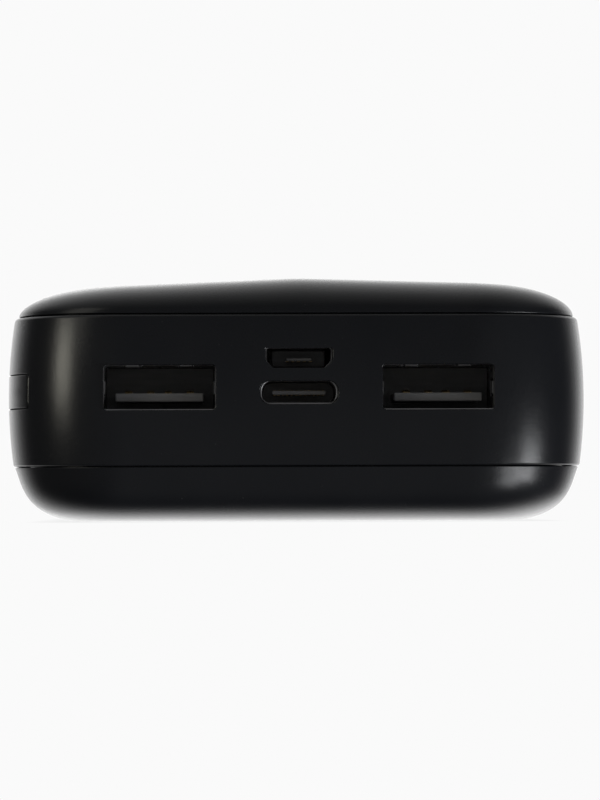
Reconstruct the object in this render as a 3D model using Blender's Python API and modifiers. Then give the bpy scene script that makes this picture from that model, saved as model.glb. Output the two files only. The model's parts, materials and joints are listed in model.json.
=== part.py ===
"""A pocket power bank, built as it would come apart on a bench.

A moulded band carries the sockets, the power button and the charge lights. One cover closes it above and
another below. Inside lie two pouch cells, and a circuit board that stands on two posts of the bottom cover.

The frame is in metres, +Z up, with the sockets in the end that faces -Y. The origin is the middle of the
flat face that the power bank rests on. The sizes below are in millimetres, and MM turns them into metres.
"""

import math

import bmesh
import bpy
from mathutils import Matrix, Vector

MM = 0.001

# ---------------------------------------------------------------- case
WIDTH = 66.5
LENGTH = 138.0
CORNER_RADIUS = 14.0  # of the plan outline at its widest
LEAST_RADIUS = 0.4
CORNER_STEPS = 7
THROUGH = 12.0  # length of a cutter that goes right through a wall

BAND_LOW = 6.3  # the lower seam
BAND_HIGH = 23.4  # the upper seam
BAND_MIDDLE = (BAND_LOW + BAND_HIGH) / 2
BAND_WIDEST = 14.1  # the height at which the band stands out furthest
BAND_BULGE = 0.65  # how far it stands out there, past a level half the band's height away
BAND_EDGE_LOW = 0.25  # rounding of the band's lower edge
BAND_EDGE_HIGH = 0.45
BAND_WALL_INSET = 2.4  # the band's inner wall, in from the widest outline
SEAM_GAP = 0.15

TOP_HEIGHT = 4.4  # of the top cover's ridge above the upper seam
TOP_SLOPE_LEFT = 0.041  # fall of the top cover's two planes, away from the ridge
TOP_SLOPE_RIGHT = 0.027
TOP_EDGE_INSET = 1.2
TOP_REACH = 8.6  # how far in the top cover's shoulder runs
TOP_POWER = 1.89  # under 2, the shoulder is flatter than an ellipse
TOP_CEILING = 25.3  # the top cover's inner face

BOTTOM_EDGE_INSET = 0.75
BOTTOM_SLOPE = 0.30  # how fast the bottom cover's side draws in below the seam
BOTTOM_REACH = 6.0
BOTTOM_POWER = 3.5  # over 2, the side stays straighter and turns under more tightly than an ellipse
BOTTOM_FLOOR = 1.7

LIP_OUTER_INSET = BAND_WALL_INSET + SEAM_GAP
LIP_INNER_INSET = 3.7
LIP_DEPTH = 1.8  # how far a cover's lip reaches into the band

# ---------------------------------------------------------------- board and sockets
TOUCH = 0.05  # gap between pieces that rest on each other
BOARD_LOW = 16.18
BOARD_HIGH = 17.18
BOARD_MIDDLE = (BOARD_LOW + BOARD_HIGH) / 2
BOARD_INSET = 4.05
BOARD_REAR = -41.3
FRONT = -LENGTH / 2
FRONT_LIP = 1.0  # thickness of the band's wall left in front of a socket's shell
SHELL_FRONT = FRONT + FRONT_LIP + TOUCH

USB_A_X = 15.75
USB_A_Z = 15.1
USB_A_SHELL = (13.1, 13.0, 5.7)
USB_A_OPENING = (12.65, 5.12)
USB_A_STEEL = 0.3
USB_A_TONGUE = (11.1, 1.84)
USB_A_TONGUE_Z = USB_A_Z - 0.92
USB_A_TONGUE_CHAMFER = 0.42
USB_A_TONGUE_SET_BACK = 0.95  # from the shell's front edge
USB_A_BASE_DEPTH = 3.0
CONTACT_XS = (-3.5, -1.0, 1.0, 3.5)
CONTACT_WIDTH = 1.0
CONTACT_THICK = 0.18
CONTACT_HUMP = 0.45  # how far its middle rises to meet the plug's pad
SPRING_XS = (-3.0, 3.0)
SPRING_ROOT = 6.0  # from the shell's front edge
SPRING_SIZE = (1.5, 4.7, 0.22)
SPRING_LEAN = math.radians(7)
SPRING_WINDOW = (2.0, 4.6, 1.2)
EAR_SIZE = (1.6, 2.2, USB_A_STEEL)  # of the feet soldered to the board
EAR_SET_BACK = 9.0

USB_C_Z = 14.5
USB_C_SHELL = (8.94, 7.3, 3.26)
USB_C_OPENING = (8.85, 2.66)
USB_C_STEEL = 0.3
USB_C_TONGUE = (6.69, 0.7)
USB_C_TONGUE_SET_BACK = 0.8
USB_C_BASE_DEPTH = 1.8

MICRO_Z = 18.43
MICRO_SHELL = (7.5, 5.6, 2.45)
MICRO_OPENING = (7.56, 2.24)
MICRO_STEEL = 0.25
MICRO_CHAMFER = 0.85  # of the shell's two lower corners
MICRO_TONGUE = (3.8, 0.6)
MICRO_TONGUE_SET_BACK = 0.7
MICRO_BASE_DEPTH = 1.5

SHELL_POCKET_GAP = 0.15  # round a shell where it enters the band's wall

# ---------------------------------------------------------------- power button and its switch
BUTTON_Y = -57.5
BUTTON_PLACE = (-WIDTH / 2, BUTTON_Y, BAND_MIDDLE)
BUTTON_SIZE = (11.0, 3.8)
BUTTON_CORNER = 0.5
BUTTON_GAP = 0.15
BUTTON_FLANGE_MARGIN = 0.8
BUTTON_FLANGE_INSETS = (2.5, 3.3)
BUTTON_POST_X = (-30.2, -27.35)
BUTTON_POST_SIZE = 2.4

PLUNGER_X = (-27.3, -26.0)
PLUNGER_SIZE = (1.7, 1.3)
SWITCH_X = (-26.6, -23.1)
SWITCH_WIDTH = 6.0
SWITCH_HEIGHT = 2.46
SWITCH_POCKET_DEPTH = 1.1

# ---------------------------------------------------------------- charge lights
LIGHT_COUNT = 4
LIGHT_FIRST_Y = -49.2
LIGHT_PITCH = 2.3
LIGHT_RADIUS = 0.75
LIGHT_GAP = 0.1
LIGHT_BAR_X = (-30.2, -27.7)
LIGHT_BAR_HEIGHT = 1.6
LED_SIZE = (1.0, 1.7, 1.8)

# ---------------------------------------------------------------- cells and what joins them
CELL_SIZE = (56.0, 98.5, 10.0)
CELL_FRONT = -38.8
CELL_LOW = 3.2
TAPE_THICK = 0.5
FOAM_SIZE = (44.0, 84.0)
END_FOAM_SIZE = (36.0, 12.0)  # across and up
STRAP_X = 14.0
STRAP_SIZE = (7.0, 0.3, 15.0)
LEAD_RADIUS = 0.8
POST_X = 22.0
POST_Y = -44.5
POST_RADIUS = 2.6
POST_HOLE_DEPTH = 7.0
SCREW_RADIUS = 1.0
SCREW_LENGTH = 5.5
SCREW_HEAD = (1.9, 1.2)  # radius and height
SCREW_RECESS = (2.0, 0.4)

INDUCTOR_SIZE = (7.0, 6.6, 3.2)
CONTROLLER_SIZE = (5.0, 5.0, 0.9)
TRANSISTOR_SIZE = (5.0, 4.0, 1.0)
CAPACITOR_RADIUS = 2.5
CAPACITOR_HEIGHT = 5.4


# ---------------------------------------------------------------- scene
def clear_scene():
    for obj in list(bpy.data.objects):
        bpy.data.objects.remove(obj)


def new_collection(name):
    collection = bpy.data.collections.new(name)
    bpy.context.scene.collection.children.link(collection)
    return collection


def new_material(name, colour, roughness, metallic=0.0):
    material = bpy.data.materials.new(name)
    material.use_nodes = True
    shader = material.node_tree.nodes["Principled BSDF"]
    shader.inputs["Base Color"].default_value = (*colour, 1.0)
    shader.inputs["Roughness"].default_value = roughness
    shader.inputs["Metallic"].default_value = metallic
    return material


clear_scene()
PARTS = new_collection("power_bank")
CUTTERS = new_collection("cutters")

BAND_PLASTIC = new_material("band_plastic", (0.012, 0.013, 0.015), 0.35)
COVER_PLASTIC = new_material("cover_plastic", (0.013, 0.014, 0.017), 0.4)
BUTTON_PLASTIC = new_material("button_plastic", (0.012, 0.012, 0.013), 0.3)
SOCKET_PLASTIC = new_material("socket_plastic", (0.03, 0.03, 0.032), 0.4)
SOCKET_STEEL = new_material("socket_steel", (0.55, 0.55, 0.56), 0.3, 1.0)
CONTACT_GOLD = new_material("contact_gold", (0.8, 0.58, 0.25), 0.25, 1.0)
BOARD_GREEN = new_material("board_green", (0.015, 0.09, 0.04), 0.35)
CELL_FOIL = new_material("cell_foil", (0.6, 0.61, 0.63), 0.35, 0.9)
TAPE_AMBER = new_material("tape_amber", (0.5, 0.22, 0.04), 0.4)
FOAM_GREY = new_material("foam_grey", (0.07, 0.07, 0.075), 0.95)
STRAP_NICKEL = new_material("strap_nickel", (0.6, 0.58, 0.53), 0.3, 1.0)
LEAD_RED = new_material("lead_red", (0.5, 0.01, 0.01), 0.5)
LEAD_BLACK = new_material("lead_black", (0.015, 0.015, 0.015), 0.5)
GUIDE_CLEAR = new_material("guide_clear", (0.75, 0.78, 0.8), 0.15)
LED_WHITE = new_material("led_white", (0.85, 0.85, 0.78), 0.4)
CHIP_EPOXY = new_material("chip_epoxy", (0.02, 0.02, 0.022), 0.5)
FERRITE = new_material("ferrite", (0.05, 0.05, 0.055), 0.7)
CAN_ALUMINIUM = new_material("can_aluminium", (0.7, 0.7, 0.72), 0.3, 1.0)
SCREW_STEEL = new_material("screw_steel", (0.25, 0.25, 0.26), 0.35, 1.0)


# ---------------------------------------------------------------- building blocks
def finish(name, bm, centre=(0, 0, 0), material=None, helper=False):
    """The bmesh as an object at centre, in mm. A helper only cuts or joins, and isn't a part."""
    bmesh.ops.scale(bm, vec=(MM, MM, MM), verts=bm.verts)
    bmesh.ops.recalc_face_normals(bm, faces=bm.faces)
    mesh = bpy.data.meshes.new(name)
    bm.to_mesh(mesh)
    bm.free()
    obj = bpy.data.objects.new(name, mesh)
    obj.location = Vector(centre) * MM
    if material:
        mesh.materials.append(material)
    if helper:
        obj.hide_render = True
        obj.display_type = "WIRE"
    (CUTTERS if helper else PARTS).objects.link(obj)
    return obj


def block(name, size, centre, material=None, axis=(), radius=0.0, steps=3, choose=None, helper=False):
    """A box. Its edges along these axes, 0 to 2, are rounded: all, or those whose middle choose accepts."""
    bm = bmesh.new()
    bmesh.ops.create_cube(bm, size=1.0)
    bmesh.ops.scale(bm, vec=size, verts=bm.verts)
    if radius:
        edges = []
        for edge in bm.edges:
            along = edge.verts[1].co - edge.verts[0].co
            middle = (edge.verts[0].co + edge.verts[1].co) / 2
            if any(abs(along[k]) > 1e-6 for k in axis) and (choose is None or choose(middle)):
                edges.append(edge)
        bmesh.ops.bevel(bm, geom=edges, offset=radius, segments=steps, profile=0.5, affect="EDGES")
    return finish(name, bm, centre, material, helper)


def rod(name, radius, length, centre, axis="Z", sides=24, material=None, helper=False):
    """A cylinder along Z or X."""
    bm = bmesh.new()
    bmesh.ops.create_cone(bm, cap_ends=True, segments=sides, radius1=radius, radius2=radius, depth=length)
    if axis == "X":
        bmesh.ops.rotate(bm, matrix=Matrix.Rotation(math.pi / 2, 3, "Y"), verts=bm.verts)
    obj = finish(name, bm, centre, material, helper)
    shade_round(obj)
    return obj


def shade_round(obj):
    obj.data.shade_smooth()
    obj.data.set_sharp_from_angle(angle=math.radians(35))


def combine(obj, other, operation):
    """Adds a Boolean to obj: DIFFERENCE cuts other away, UNION joins it, INTERSECT keeps what they share."""
    modifier = obj.modifiers.new(operation.lower(), "BOOLEAN")
    modifier.operation = operation
    modifier.object = other
    modifier.solver = "EXACT"


def bevel(obj, width, segments=2):
    modifier = obj.modifiers.new("rounded_edges", "BEVEL")
    modifier.width = width * MM
    modifier.segments = segments
    modifier.limit_method = "ANGLE"


def span(low, high):
    """(size, middle) of a stretch."""
    return high - low, (low + high) / 2


def grown(sizes, margin):
    """These sizes with a margin at both ends of each."""
    return [size + 2 * margin for size in sizes]


# ---------------------------------------------------------------- case shapes
def outline(inset, height):
    """The case's plan outline, this far in from its widest. height is a number, or a function of x."""
    half_x, half_y = WIDTH / 2 - inset, LENGTH / 2 - inset
    radius = min(max(CORNER_RADIUS - inset, LEAST_RADIUS), half_x)
    points = []
    for quarter in range(4):
        side_x = (1, -1, -1, 1)[quarter]
        side_y = (1, 1, -1, -1)[quarter]
        for step in range(CORNER_STEPS + 1):
            angle = math.pi / 2 * (quarter + step / CORNER_STEPS)
            x = side_x * (half_x - radius) + radius * math.cos(angle)
            y = side_y * (half_y - radius) + radius * math.sin(angle)
            points.append((x, y))
        if quarter in (0, 2):  # the middle of each end, where the ridge crosses it
            points.append((0.0, side_y * half_y))
    return [(x, y, height(x) if callable(height) else height) for x, y in points]


def loft(name, rings, material=None, helper=False, ring_shaped=False):
    """A solid through these outlines, closed by the first and last, or last to first if ring_shaped."""
    bm = bmesh.new()
    made = [[bm.verts.new(point) for point in ring] for ring in rings]
    pairs = list(zip(made, made[1:]))
    if ring_shaped:
        pairs.append((made[-1], made[0]))
    else:
        bm.faces.new(made[0])
        bm.faces.new(reversed(made[-1]))
    for first, second in pairs:
        for k in range(len(first)):
            n = (k + 1) % len(first)
            bm.faces.new((first[k], first[n], second[n], second[k]))
    obj = finish(name, bm, material=material, helper=helper)
    shade_round(obj)
    return obj


def band_inset(height):
    half = (BAND_HIGH - BAND_LOW) / 2
    return BAND_BULGE * ((height - BAND_WIDEST) / half) ** 2


def quarter_turn(steps, power=2.0):
    """(across, up) from (0, 0) to (1, 1) along a quarter of a superellipse that starts straight up."""
    for step in range(steps + 1):
        angle = math.pi / 2 * step / steps
        yield 1 - math.cos(angle) ** (2 / power), math.sin(angle) ** (2 / power)


def band_side():
    """(inset, height) up the band's outer side, with its two edges rounded."""
    side = []
    for across, up in reversed(list(quarter_turn(2))):
        height = BAND_LOW + BAND_EDGE_LOW * (1 - up)
        side.append((band_inset(height) + BAND_EDGE_LOW * across, height))
    low, high = BAND_LOW + BAND_EDGE_LOW, BAND_HIGH - BAND_EDGE_HIGH
    levels = 6
    for step in range(1, levels):
        height = low + (high - low) * step / levels
        side.append((band_inset(height), height))
    for across, up in quarter_turn(2):
        height = BAND_HIGH - BAND_EDGE_HIGH * (1 - up)
        side.append((band_inset(height) + BAND_EDGE_HIGH * across, height))
    return side


def case_prism(name, inset, low=BAND_LOW, high=BAND_HIGH):
    """A helper that fills the case's outline, this far in."""
    return loft(name, [outline(inset, low), outline(inset, high)], helper=True)


# ---------------------------------------------------------------- band
def socket_cutters(name, x, z, opening, shell, choose=None, radius=0.4, pocket_radius=0.4, steps=3):
    """The hole in the band's front wall for a plug, and behind it the pocket that the shell sits in."""
    depth = 3.0
    hole = block(
        name + "_hole", (opening[0], depth, opening[1]), (x, FRONT, z),
        axis=(1,), radius=radius, steps=steps, choose=choose, helper=True,
    )
    pocket = block(
        name + "_pocket",
        (shell[0] + 2 * SHELL_POCKET_GAP, depth, shell[2] + 2 * SHELL_POCKET_GAP),
        (x, FRONT + FRONT_LIP + depth / 2, z),
        axis=(1,), radius=pocket_radius, steps=steps, choose=choose, helper=True,
    )
    return hole, pocket


def lower_edges(middle):
    return middle.z < 0


def front_edges(middle):
    return middle.y < 0


def make_band():
    rings = [outline(BAND_WALL_INSET, BAND_LOW)]
    rings += [outline(inset, height) for inset, height in band_side()]
    rings.append(outline(BAND_WALL_INSET, BAND_HIGH))
    band = loft("middle_band", rings, BAND_PLASTIC, ring_shaped=True)
    cutters = []
    for side in (-1, 1):
        cutters += socket_cutters(
            "usb_a_left" if side < 0 else "usb_a_right", side * USB_A_X, USB_A_Z, USB_A_OPENING, USB_A_SHELL
        )
    cutters += socket_cutters(
        "usb_c", 0, USB_C_Z, USB_C_OPENING, USB_C_SHELL,
        radius=USB_C_OPENING[1] * 0.45, pocket_radius=USB_C_SHELL[2] * 0.45, steps=5,
    )
    cutters += socket_cutters(
        "micro_usb", 0, MICRO_Z, MICRO_OPENING, MICRO_SHELL,
        choose=lower_edges, radius=MICRO_CHAMFER * 0.9, pocket_radius=MICRO_CHAMFER, steps=1,
    )
    cutters.append(
        block(
            "button_hole", (THROUGH, *grown(BUTTON_SIZE, BUTTON_GAP)), BUTTON_PLACE,
            axis=(0,), radius=BUTTON_CORNER + BUTTON_GAP, helper=True,
        )
    )
    for number, y in enumerate(light_places()):
        place = (-WIDTH / 2, y, BAND_MIDDLE)
        hole = rod(f"light_hole_{number + 1}", LIGHT_RADIUS + LIGHT_GAP, THROUGH, place, "X", 16, helper=True)
        cutters.append(hole)
    for cutter in cutters:
        combine(band, cutter, "DIFFERENCE")


# ---------------------------------------------------------------- covers
def lip_rings(seam, inward):
    """A cover's rim and the lip that reaches into the band. inward is +1 for up and -1 for down."""
    tip = seam + inward * (LIP_DEPTH + SEAM_GAP)
    return [outline(LIP_OUTER_INSET, seam), outline(LIP_OUTER_INSET, tip), outline(LIP_INNER_INSET, tip)]


def make_top_cover():
    """Its two shallow planes meet in a ridge along the middle, and a long shoulder runs down to the seam."""
    seam = BAND_HIGH + SEAM_GAP
    rise = TOP_HEIGHT - SEAM_GAP

    def surface(share):
        return lambda x: seam + share * (rise - max(-TOP_SLOPE_LEFT * x, TOP_SLOPE_RIGHT * x))

    rings = [outline(inset, surface(1)) for inset in (WIDTH / 2 - 0.6, 24.0, 16.0)]
    for across, up in reversed(list(quarter_turn(8, TOP_POWER))):
        rings.append(outline(TOP_EDGE_INSET + TOP_REACH * across, surface(up)))
    rings += lip_rings(seam, -1)
    for across, up in quarter_turn(4):
        rings.append(outline(LIP_INNER_INSET + 4.0 * across, seam + (TOP_CEILING - seam) * up))
    loft("top_cover", rings, COVER_PLASTIC)


def bottom_side(steps):
    """(inset, height) down the bottom cover's side, from the seam to where it turns flat."""
    seam = BAND_LOW - SEAM_GAP
    for step in range(steps + 1):
        angle = math.pi / 2 * step / steps
        fall = math.sin(angle) ** (2 / BOTTOM_POWER)
        inset = BOTTOM_EDGE_INSET + BOTTOM_SLOPE * seam * fall + BOTTOM_REACH * (1 - math.cos(angle))
        yield inset, seam * (1 - fall)


def make_bottom_cover():
    """It has a flat resting face, a side that turns under, and two posts for the board's screws."""
    seam = BAND_LOW - SEAM_GAP
    rings = [outline(inset, height) for inset, height in reversed(list(bottom_side(9)))]
    rings += lip_rings(seam, 1)
    for across, up in quarter_turn(4):
        rings.append(outline(LIP_INNER_INSET + 6.0 * across, seam + (BOTTOM_FLOOR - seam) * up))
    cover = loft("bottom_cover", rings, COVER_PLASTIC)
    height, middle = span(BOTTOM_FLOOR - 0.7, BOARD_LOW - TOUCH)
    hole_depth, hole_middle = span(BOARD_LOW - POST_HOLE_DEPTH, BOARD_HIGH)
    for side, name in ((-1, "left"), (1, "right")):
        x, y = side * POST_X, POST_Y
        post = rod(f"post_{name}", POST_RADIUS, height, (x, y, middle), sides=20, helper=True)
        combine(cover, post, "UNION")
        place = (x, y, hole_middle)
        hole = rod(f"post_hole_{name}", SCREW_RADIUS + 0.1, hole_depth, place, sides=12, helper=True)
        combine(cover, hole, "DIFFERENCE")


# ---------------------------------------------------------------- power button and switch
def make_button_slide():
    """The button and the plunger it pushes move along this empty's x axis."""
    slide = bpy.data.objects.new("button_slide", None)
    slide.location = Vector(BUTTON_PLACE) * MM
    PARTS.objects.link(slide)
    return slide


def make_button(slide):
    """The cap follows the band's outside. A flange keeps it in, and its post pushes the switch's plunger."""
    low, high = BUTTON_FLANGE_INSETS
    button = block(
        "power_button", (THROUGH, *BUTTON_SIZE), (0, 0, 0), BUTTON_PLASTIC, axis=(0,), radius=BUTTON_CORNER
    )
    button.parent = slide
    outside = [outline(inset, height) for inset, height in band_side()]
    combine(button, loft("button_face", outside, helper=True), "INTERSECT")
    combine(button, case_prism("button_back", (low + high) / 2), "DIFFERENCE")
    flange = block(
        "button_flange", (THROUGH, *grown(BUTTON_SIZE, BUTTON_FLANGE_MARGIN)), BUTTON_PLACE,
        axis=(0,), radius=BUTTON_CORNER + BUTTON_FLANGE_MARGIN, helper=True,
    )
    combine(flange, case_prism("flange_front", low), "INTERSECT")
    combine(flange, case_prism("flange_back", high), "DIFFERENCE")
    combine(button, flange, "UNION")
    length, middle = span(*BUTTON_POST_X)
    size = (length, BUTTON_POST_SIZE, BUTTON_POST_SIZE)
    combine(button, block("button_post", size, (middle, BUTTON_Y, BAND_MIDDLE), helper=True), "UNION")


def make_switch(slide):
    length, middle = span(*SWITCH_X)
    low = BOARD_LOW - TOUCH - SWITCH_HEIGHT
    body = block(
        "switch_body", (length, SWITCH_WIDTH, SWITCH_HEIGHT), (middle, BUTTON_Y, low + SWITCH_HEIGHT / 2),
        SOCKET_STEEL, axis=(2,), radius=0.3, steps=2,
    )
    pocket_size = (2 * SWITCH_POCKET_DEPTH, *grown(PLUNGER_SIZE, 0.1))
    pocket = block("switch_pocket", pocket_size, (SWITCH_X[0], BUTTON_Y, BAND_MIDDLE), helper=True)
    combine(body, pocket, "DIFFERENCE")
    length, middle = span(*PLUNGER_X)
    place = Vector((middle, BUTTON_Y, BAND_MIDDLE)) - Vector(BUTTON_PLACE)
    plunger = block("switch_plunger", (length, *PLUNGER_SIZE), place, BUTTON_PLASTIC, axis=(0,), radius=0.2)
    plunger.parent = slide


# ---------------------------------------------------------------- sockets
def socket_shell(name, x, z, size, steel, radius, steps, choose=None):
    """An open steel tube that a plug slides into."""
    width, depth, height = size
    centre = (x, SHELL_FRONT + depth / 2, z)
    shell = block(name, size, centre, SOCKET_STEEL, axis=(1,), radius=radius, steps=steps, choose=choose)
    bore = block(
        name + "_bore", (width - 2 * steel, depth + 2, height - 2 * steel), centre,
        axis=(1,), radius=max(radius - steel, 0.05), steps=steps, choose=choose, helper=True,
    )
    combine(shell, bore, "DIFFERENCE")
    return shell


def turned(size, across):
    """(width, length, thickness) as a size whose width lies along this axis, "x" or "z"."""
    width, length, thick = size
    return (width, length, thick) if across == "x" else (thick, length, width)


def add_spring(shell, name, root, inward, across):
    """A window in the shell's wall, with a leaf across it that leans inwards to grip the plug.

    root is the middle of the leaf's rear end, inward is the way it leans, and across is its width's axis.
    """
    root, inward = Vector(root), Vector(inward)
    window_middle = root - Vector((0, SPRING_WINDOW[1] / 2, 0))
    window = block(f"{name}_window", turned(SPRING_WINDOW, across), window_middle, helper=True)
    combine(shell, window, "DIFFERENCE")
    half, held = SPRING_SIZE[1] / 2, 0.5
    leaf_middle = root + Vector((0, held - half, 0)) + inward * math.sin(SPRING_LEAN) * (half - held / 2)
    leaf = block(f"{name}_leaf", turned(SPRING_SIZE, across), leaf_middle, helper=True)
    turn = Matrix.Rotation(SPRING_LEAN, 3, inward.cross(Vector((0, 1, 0))))
    leaf.rotation_euler = turn.to_euler()
    combine(shell, leaf, "UNION")


def add_ears(shell, name, x):
    """A foot on each side of the shell, which is soldered to the board's upper face."""
    reach = (USB_A_SHELL[0] + EAR_SIZE[0] - USB_A_STEEL) / 2
    for way in (-1, 1):
        place = (x + way * reach, SHELL_FRONT + EAR_SET_BACK, BOARD_HIGH + TOUCH + USB_A_STEEL / 2)
        combine(shell, block(f"{name}_ear_{way}", EAR_SIZE, place, helper=True), "UNION")


def make_usb_a(side, word):
    x = side * USB_A_X
    width, depth, height = USB_A_SHELL
    shell = socket_shell(f"usb_a_shell_{word}", x, USB_A_Z, USB_A_SHELL, USB_A_STEEL, 0.6, 3)
    root_y = SHELL_FRONT + SPRING_ROOT
    wall = USB_A_STEEL / 2
    for number, offset in enumerate(SPRING_XS):
        top = (x + offset, root_y, USB_A_Z + height / 2 - wall)
        bottom = (x + offset, root_y, USB_A_Z - height / 2 + wall)
        add_spring(shell, f"spring_top_{word}_{number}", top, (0, 0, -1), "x")
        add_spring(shell, f"spring_bottom_{word}_{number}", bottom, (0, 0, 1), "x")
    for way in (-1, 1):
        beside = (x + way * (width / 2 - wall), root_y, USB_A_Z)
        add_spring(shell, f"spring_side_{word}_{way}", beside, (-way, 0, 0), "z")
    add_ears(shell, f"usb_a_{word}", x)

    base_rear = SHELL_FRONT + depth - 0.2
    base_front = base_rear - USB_A_BASE_DEPTH
    inside_width, inside_height = grown((width, height), -USB_A_STEEL - TOUCH)
    base = block(
        f"usb_a_insulator_{word}", (inside_width, USB_A_BASE_DEPTH, inside_height),
        (x, base_rear - USB_A_BASE_DEPTH / 2, USB_A_Z),
        SOCKET_PLASTIC, axis=(1,), radius=0.25, steps=2,
    )
    tongue_front = SHELL_FRONT + USB_A_TONGUE_SET_BACK
    length, middle = span(tongue_front, base_front + 0.5)
    tongue = block(
        f"usb_a_tongue_{word}", (USB_A_TONGUE[0], length, USB_A_TONGUE[1]), (x, middle, USB_A_TONGUE_Z),
        axis=(0, 2), radius=USB_A_TONGUE_CHAMFER, steps=1, choose=front_edges, helper=True,
    )
    combine(base, tongue, "UNION")
    for number, offset in enumerate(CONTACT_XS):
        make_contact(f"usb_a_contact_{word}_{number + 1}", x + offset, tongue_front + 0.9, base_front - 0.1)


def make_contact(name, x, front, rear):
    """A gold strip along the tongue, with the hump that a plug's pad rides on."""
    steps = 10
    low = USB_A_TONGUE_Z + USB_A_TONGUE[1] / 2 + TOUCH
    bm = bmesh.new()
    rows = []
    for step in range(steps + 1):
        share = step / steps
        rise = CONTACT_HUMP * math.sin(math.pi * share) ** 2
        y = (rear - front) * (share - 0.5)
        rows.append([bm.verts.new((side * CONTACT_WIDTH / 2, y, rise)) for side in (-1, 1)])
    for first, second in zip(rows, rows[1:]):
        bm.faces.new((first[0], first[1], second[1], second[0]))
    contact = finish(name, bm, (x, (front + rear) / 2, low), CONTACT_GOLD)
    solid = contact.modifiers.new("sheet", "SOLIDIFY")
    solid.thickness = CONTACT_THICK * MM
    solid.offset = 1.0


def make_usb_c():
    width, depth, height = USB_C_SHELL
    socket_shell("usb_c_shell", 0, USB_C_Z, USB_C_SHELL, USB_C_STEEL, height * 0.45, 5)
    inside_width, inside_height = grown((width, height), -USB_C_STEEL - TOUCH)
    base_rear = SHELL_FRONT + depth - 0.1
    base = block(
        "usb_c_insulator", (inside_width, USB_C_BASE_DEPTH, inside_height),
        (0, base_rear - USB_C_BASE_DEPTH / 2, USB_C_Z),
        SOCKET_PLASTIC, axis=(1,), radius=inside_height * 0.45, steps=5,
    )
    length, middle = span(SHELL_FRONT + USB_C_TONGUE_SET_BACK, base_rear - USB_C_BASE_DEPTH + 0.4)
    tongue = block(
        "usb_c_tongue", (USB_C_TONGUE[0], length, USB_C_TONGUE[1]), (0, middle, USB_C_Z),
        axis=(2,), radius=0.5, steps=2, choose=front_edges, helper=True,
    )
    combine(base, tongue, "UNION")


def make_micro_usb():
    width, depth, height = MICRO_SHELL
    socket_shell("micro_usb_shell", 0, MICRO_Z, MICRO_SHELL, MICRO_STEEL, MICRO_CHAMFER, 1, lower_edges)
    inside_width, inside_height = grown((width, height), -MICRO_STEEL - TOUCH)
    base_rear = SHELL_FRONT + depth - 0.1
    base = block(
        "micro_usb_insulator", (inside_width, MICRO_BASE_DEPTH, inside_height),
        (0, base_rear - MICRO_BASE_DEPTH / 2, MICRO_Z),
        SOCKET_PLASTIC, axis=(1,), radius=MICRO_CHAMFER, steps=1, choose=lower_edges,
    )
    length, middle = span(SHELL_FRONT + MICRO_TONGUE_SET_BACK, base_rear - MICRO_BASE_DEPTH + 0.4)
    size = (MICRO_TONGUE[0], length, MICRO_TONGUE[1])
    tongue = block("micro_usb_tongue", size, (0, middle, MICRO_Z), helper=True)
    combine(base, tongue, "UNION")


# ---------------------------------------------------------------- board
def make_board():
    half_x = WIDTH / 2 - BOARD_INSET
    length, middle = span(FRONT + BOARD_INSET, BOARD_REAR)
    board = block(
        "main_board", (2 * half_x, length, BOARD_HIGH - BOARD_LOW), (0, middle, BOARD_MIDDLE),
        BOARD_GREEN, axis=(2,), radius=CORNER_RADIUS - BOARD_INSET, steps=6, choose=front_edges,
    )
    notch_length, notch_middle = span(FRONT, SHELL_FRONT + USB_A_SHELL[1] + 0.25)
    notch_size = (USB_A_SHELL[0] + 0.5, notch_length, THROUGH)
    for side, word in ((-1, "left"), (1, "right")):
        notch_place = (side * USB_A_X, notch_middle, BOARD_MIDDLE)
        combine(board, block(f"board_notch_{word}", notch_size, notch_place, helper=True), "DIFFERENCE")
        hole_place = (side * POST_X, POST_Y, BOARD_MIDDLE)
        hole = rod(f"board_hole_{word}", SCREW_RADIUS + 0.15, THROUGH, hole_place, sides=16, helper=True)
        combine(board, hole, "DIFFERENCE")
        make_screw(f"board_screw_{word}", side * POST_X, POST_Y)


def make_screw(name, x, y):
    """A pan-head screw, turned, with a cross cut in its head."""
    head_radius, head_height = SCREW_HEAD
    profile = [(0.0, head_height)]
    for step in range(1, 4):
        angle = math.pi / 2 * step / 3
        profile.append((head_radius * math.sin(angle), head_height * (0.35 + 0.65 * math.cos(angle))))
    profile += [(head_radius, 0.0), (SCREW_RADIUS, 0.0)]
    profile += [(SCREW_RADIUS, 0.8 - SCREW_LENGTH), (0.0, -SCREW_LENGTH)]
    bm = bmesh.new()
    points = [bm.verts.new((radius, 0, height)) for radius, height in profile]
    for first, second in zip(points, points[1:]):
        bm.edges.new((first, second))
    screw = finish(name, bm, (x, y, BOARD_HIGH + TOUCH), SCREW_STEEL)
    turn = screw.modifiers.new("turned", "SCREW")
    turn.steps = turn.render_steps = 16
    turn.use_merge_vertices = True
    turn.merge_threshold = 0.00001
    long_way, short_way = SCREW_RECESS
    place = (x, y, BOARD_HIGH + TOUCH + head_height)
    for number, size in enumerate(((long_way, short_way), (short_way, long_way))):
        recess = block(f"{name}_recess_{number}", (*size, head_height), place, helper=True)
        combine(screw, recess, "DIFFERENCE")


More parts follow.
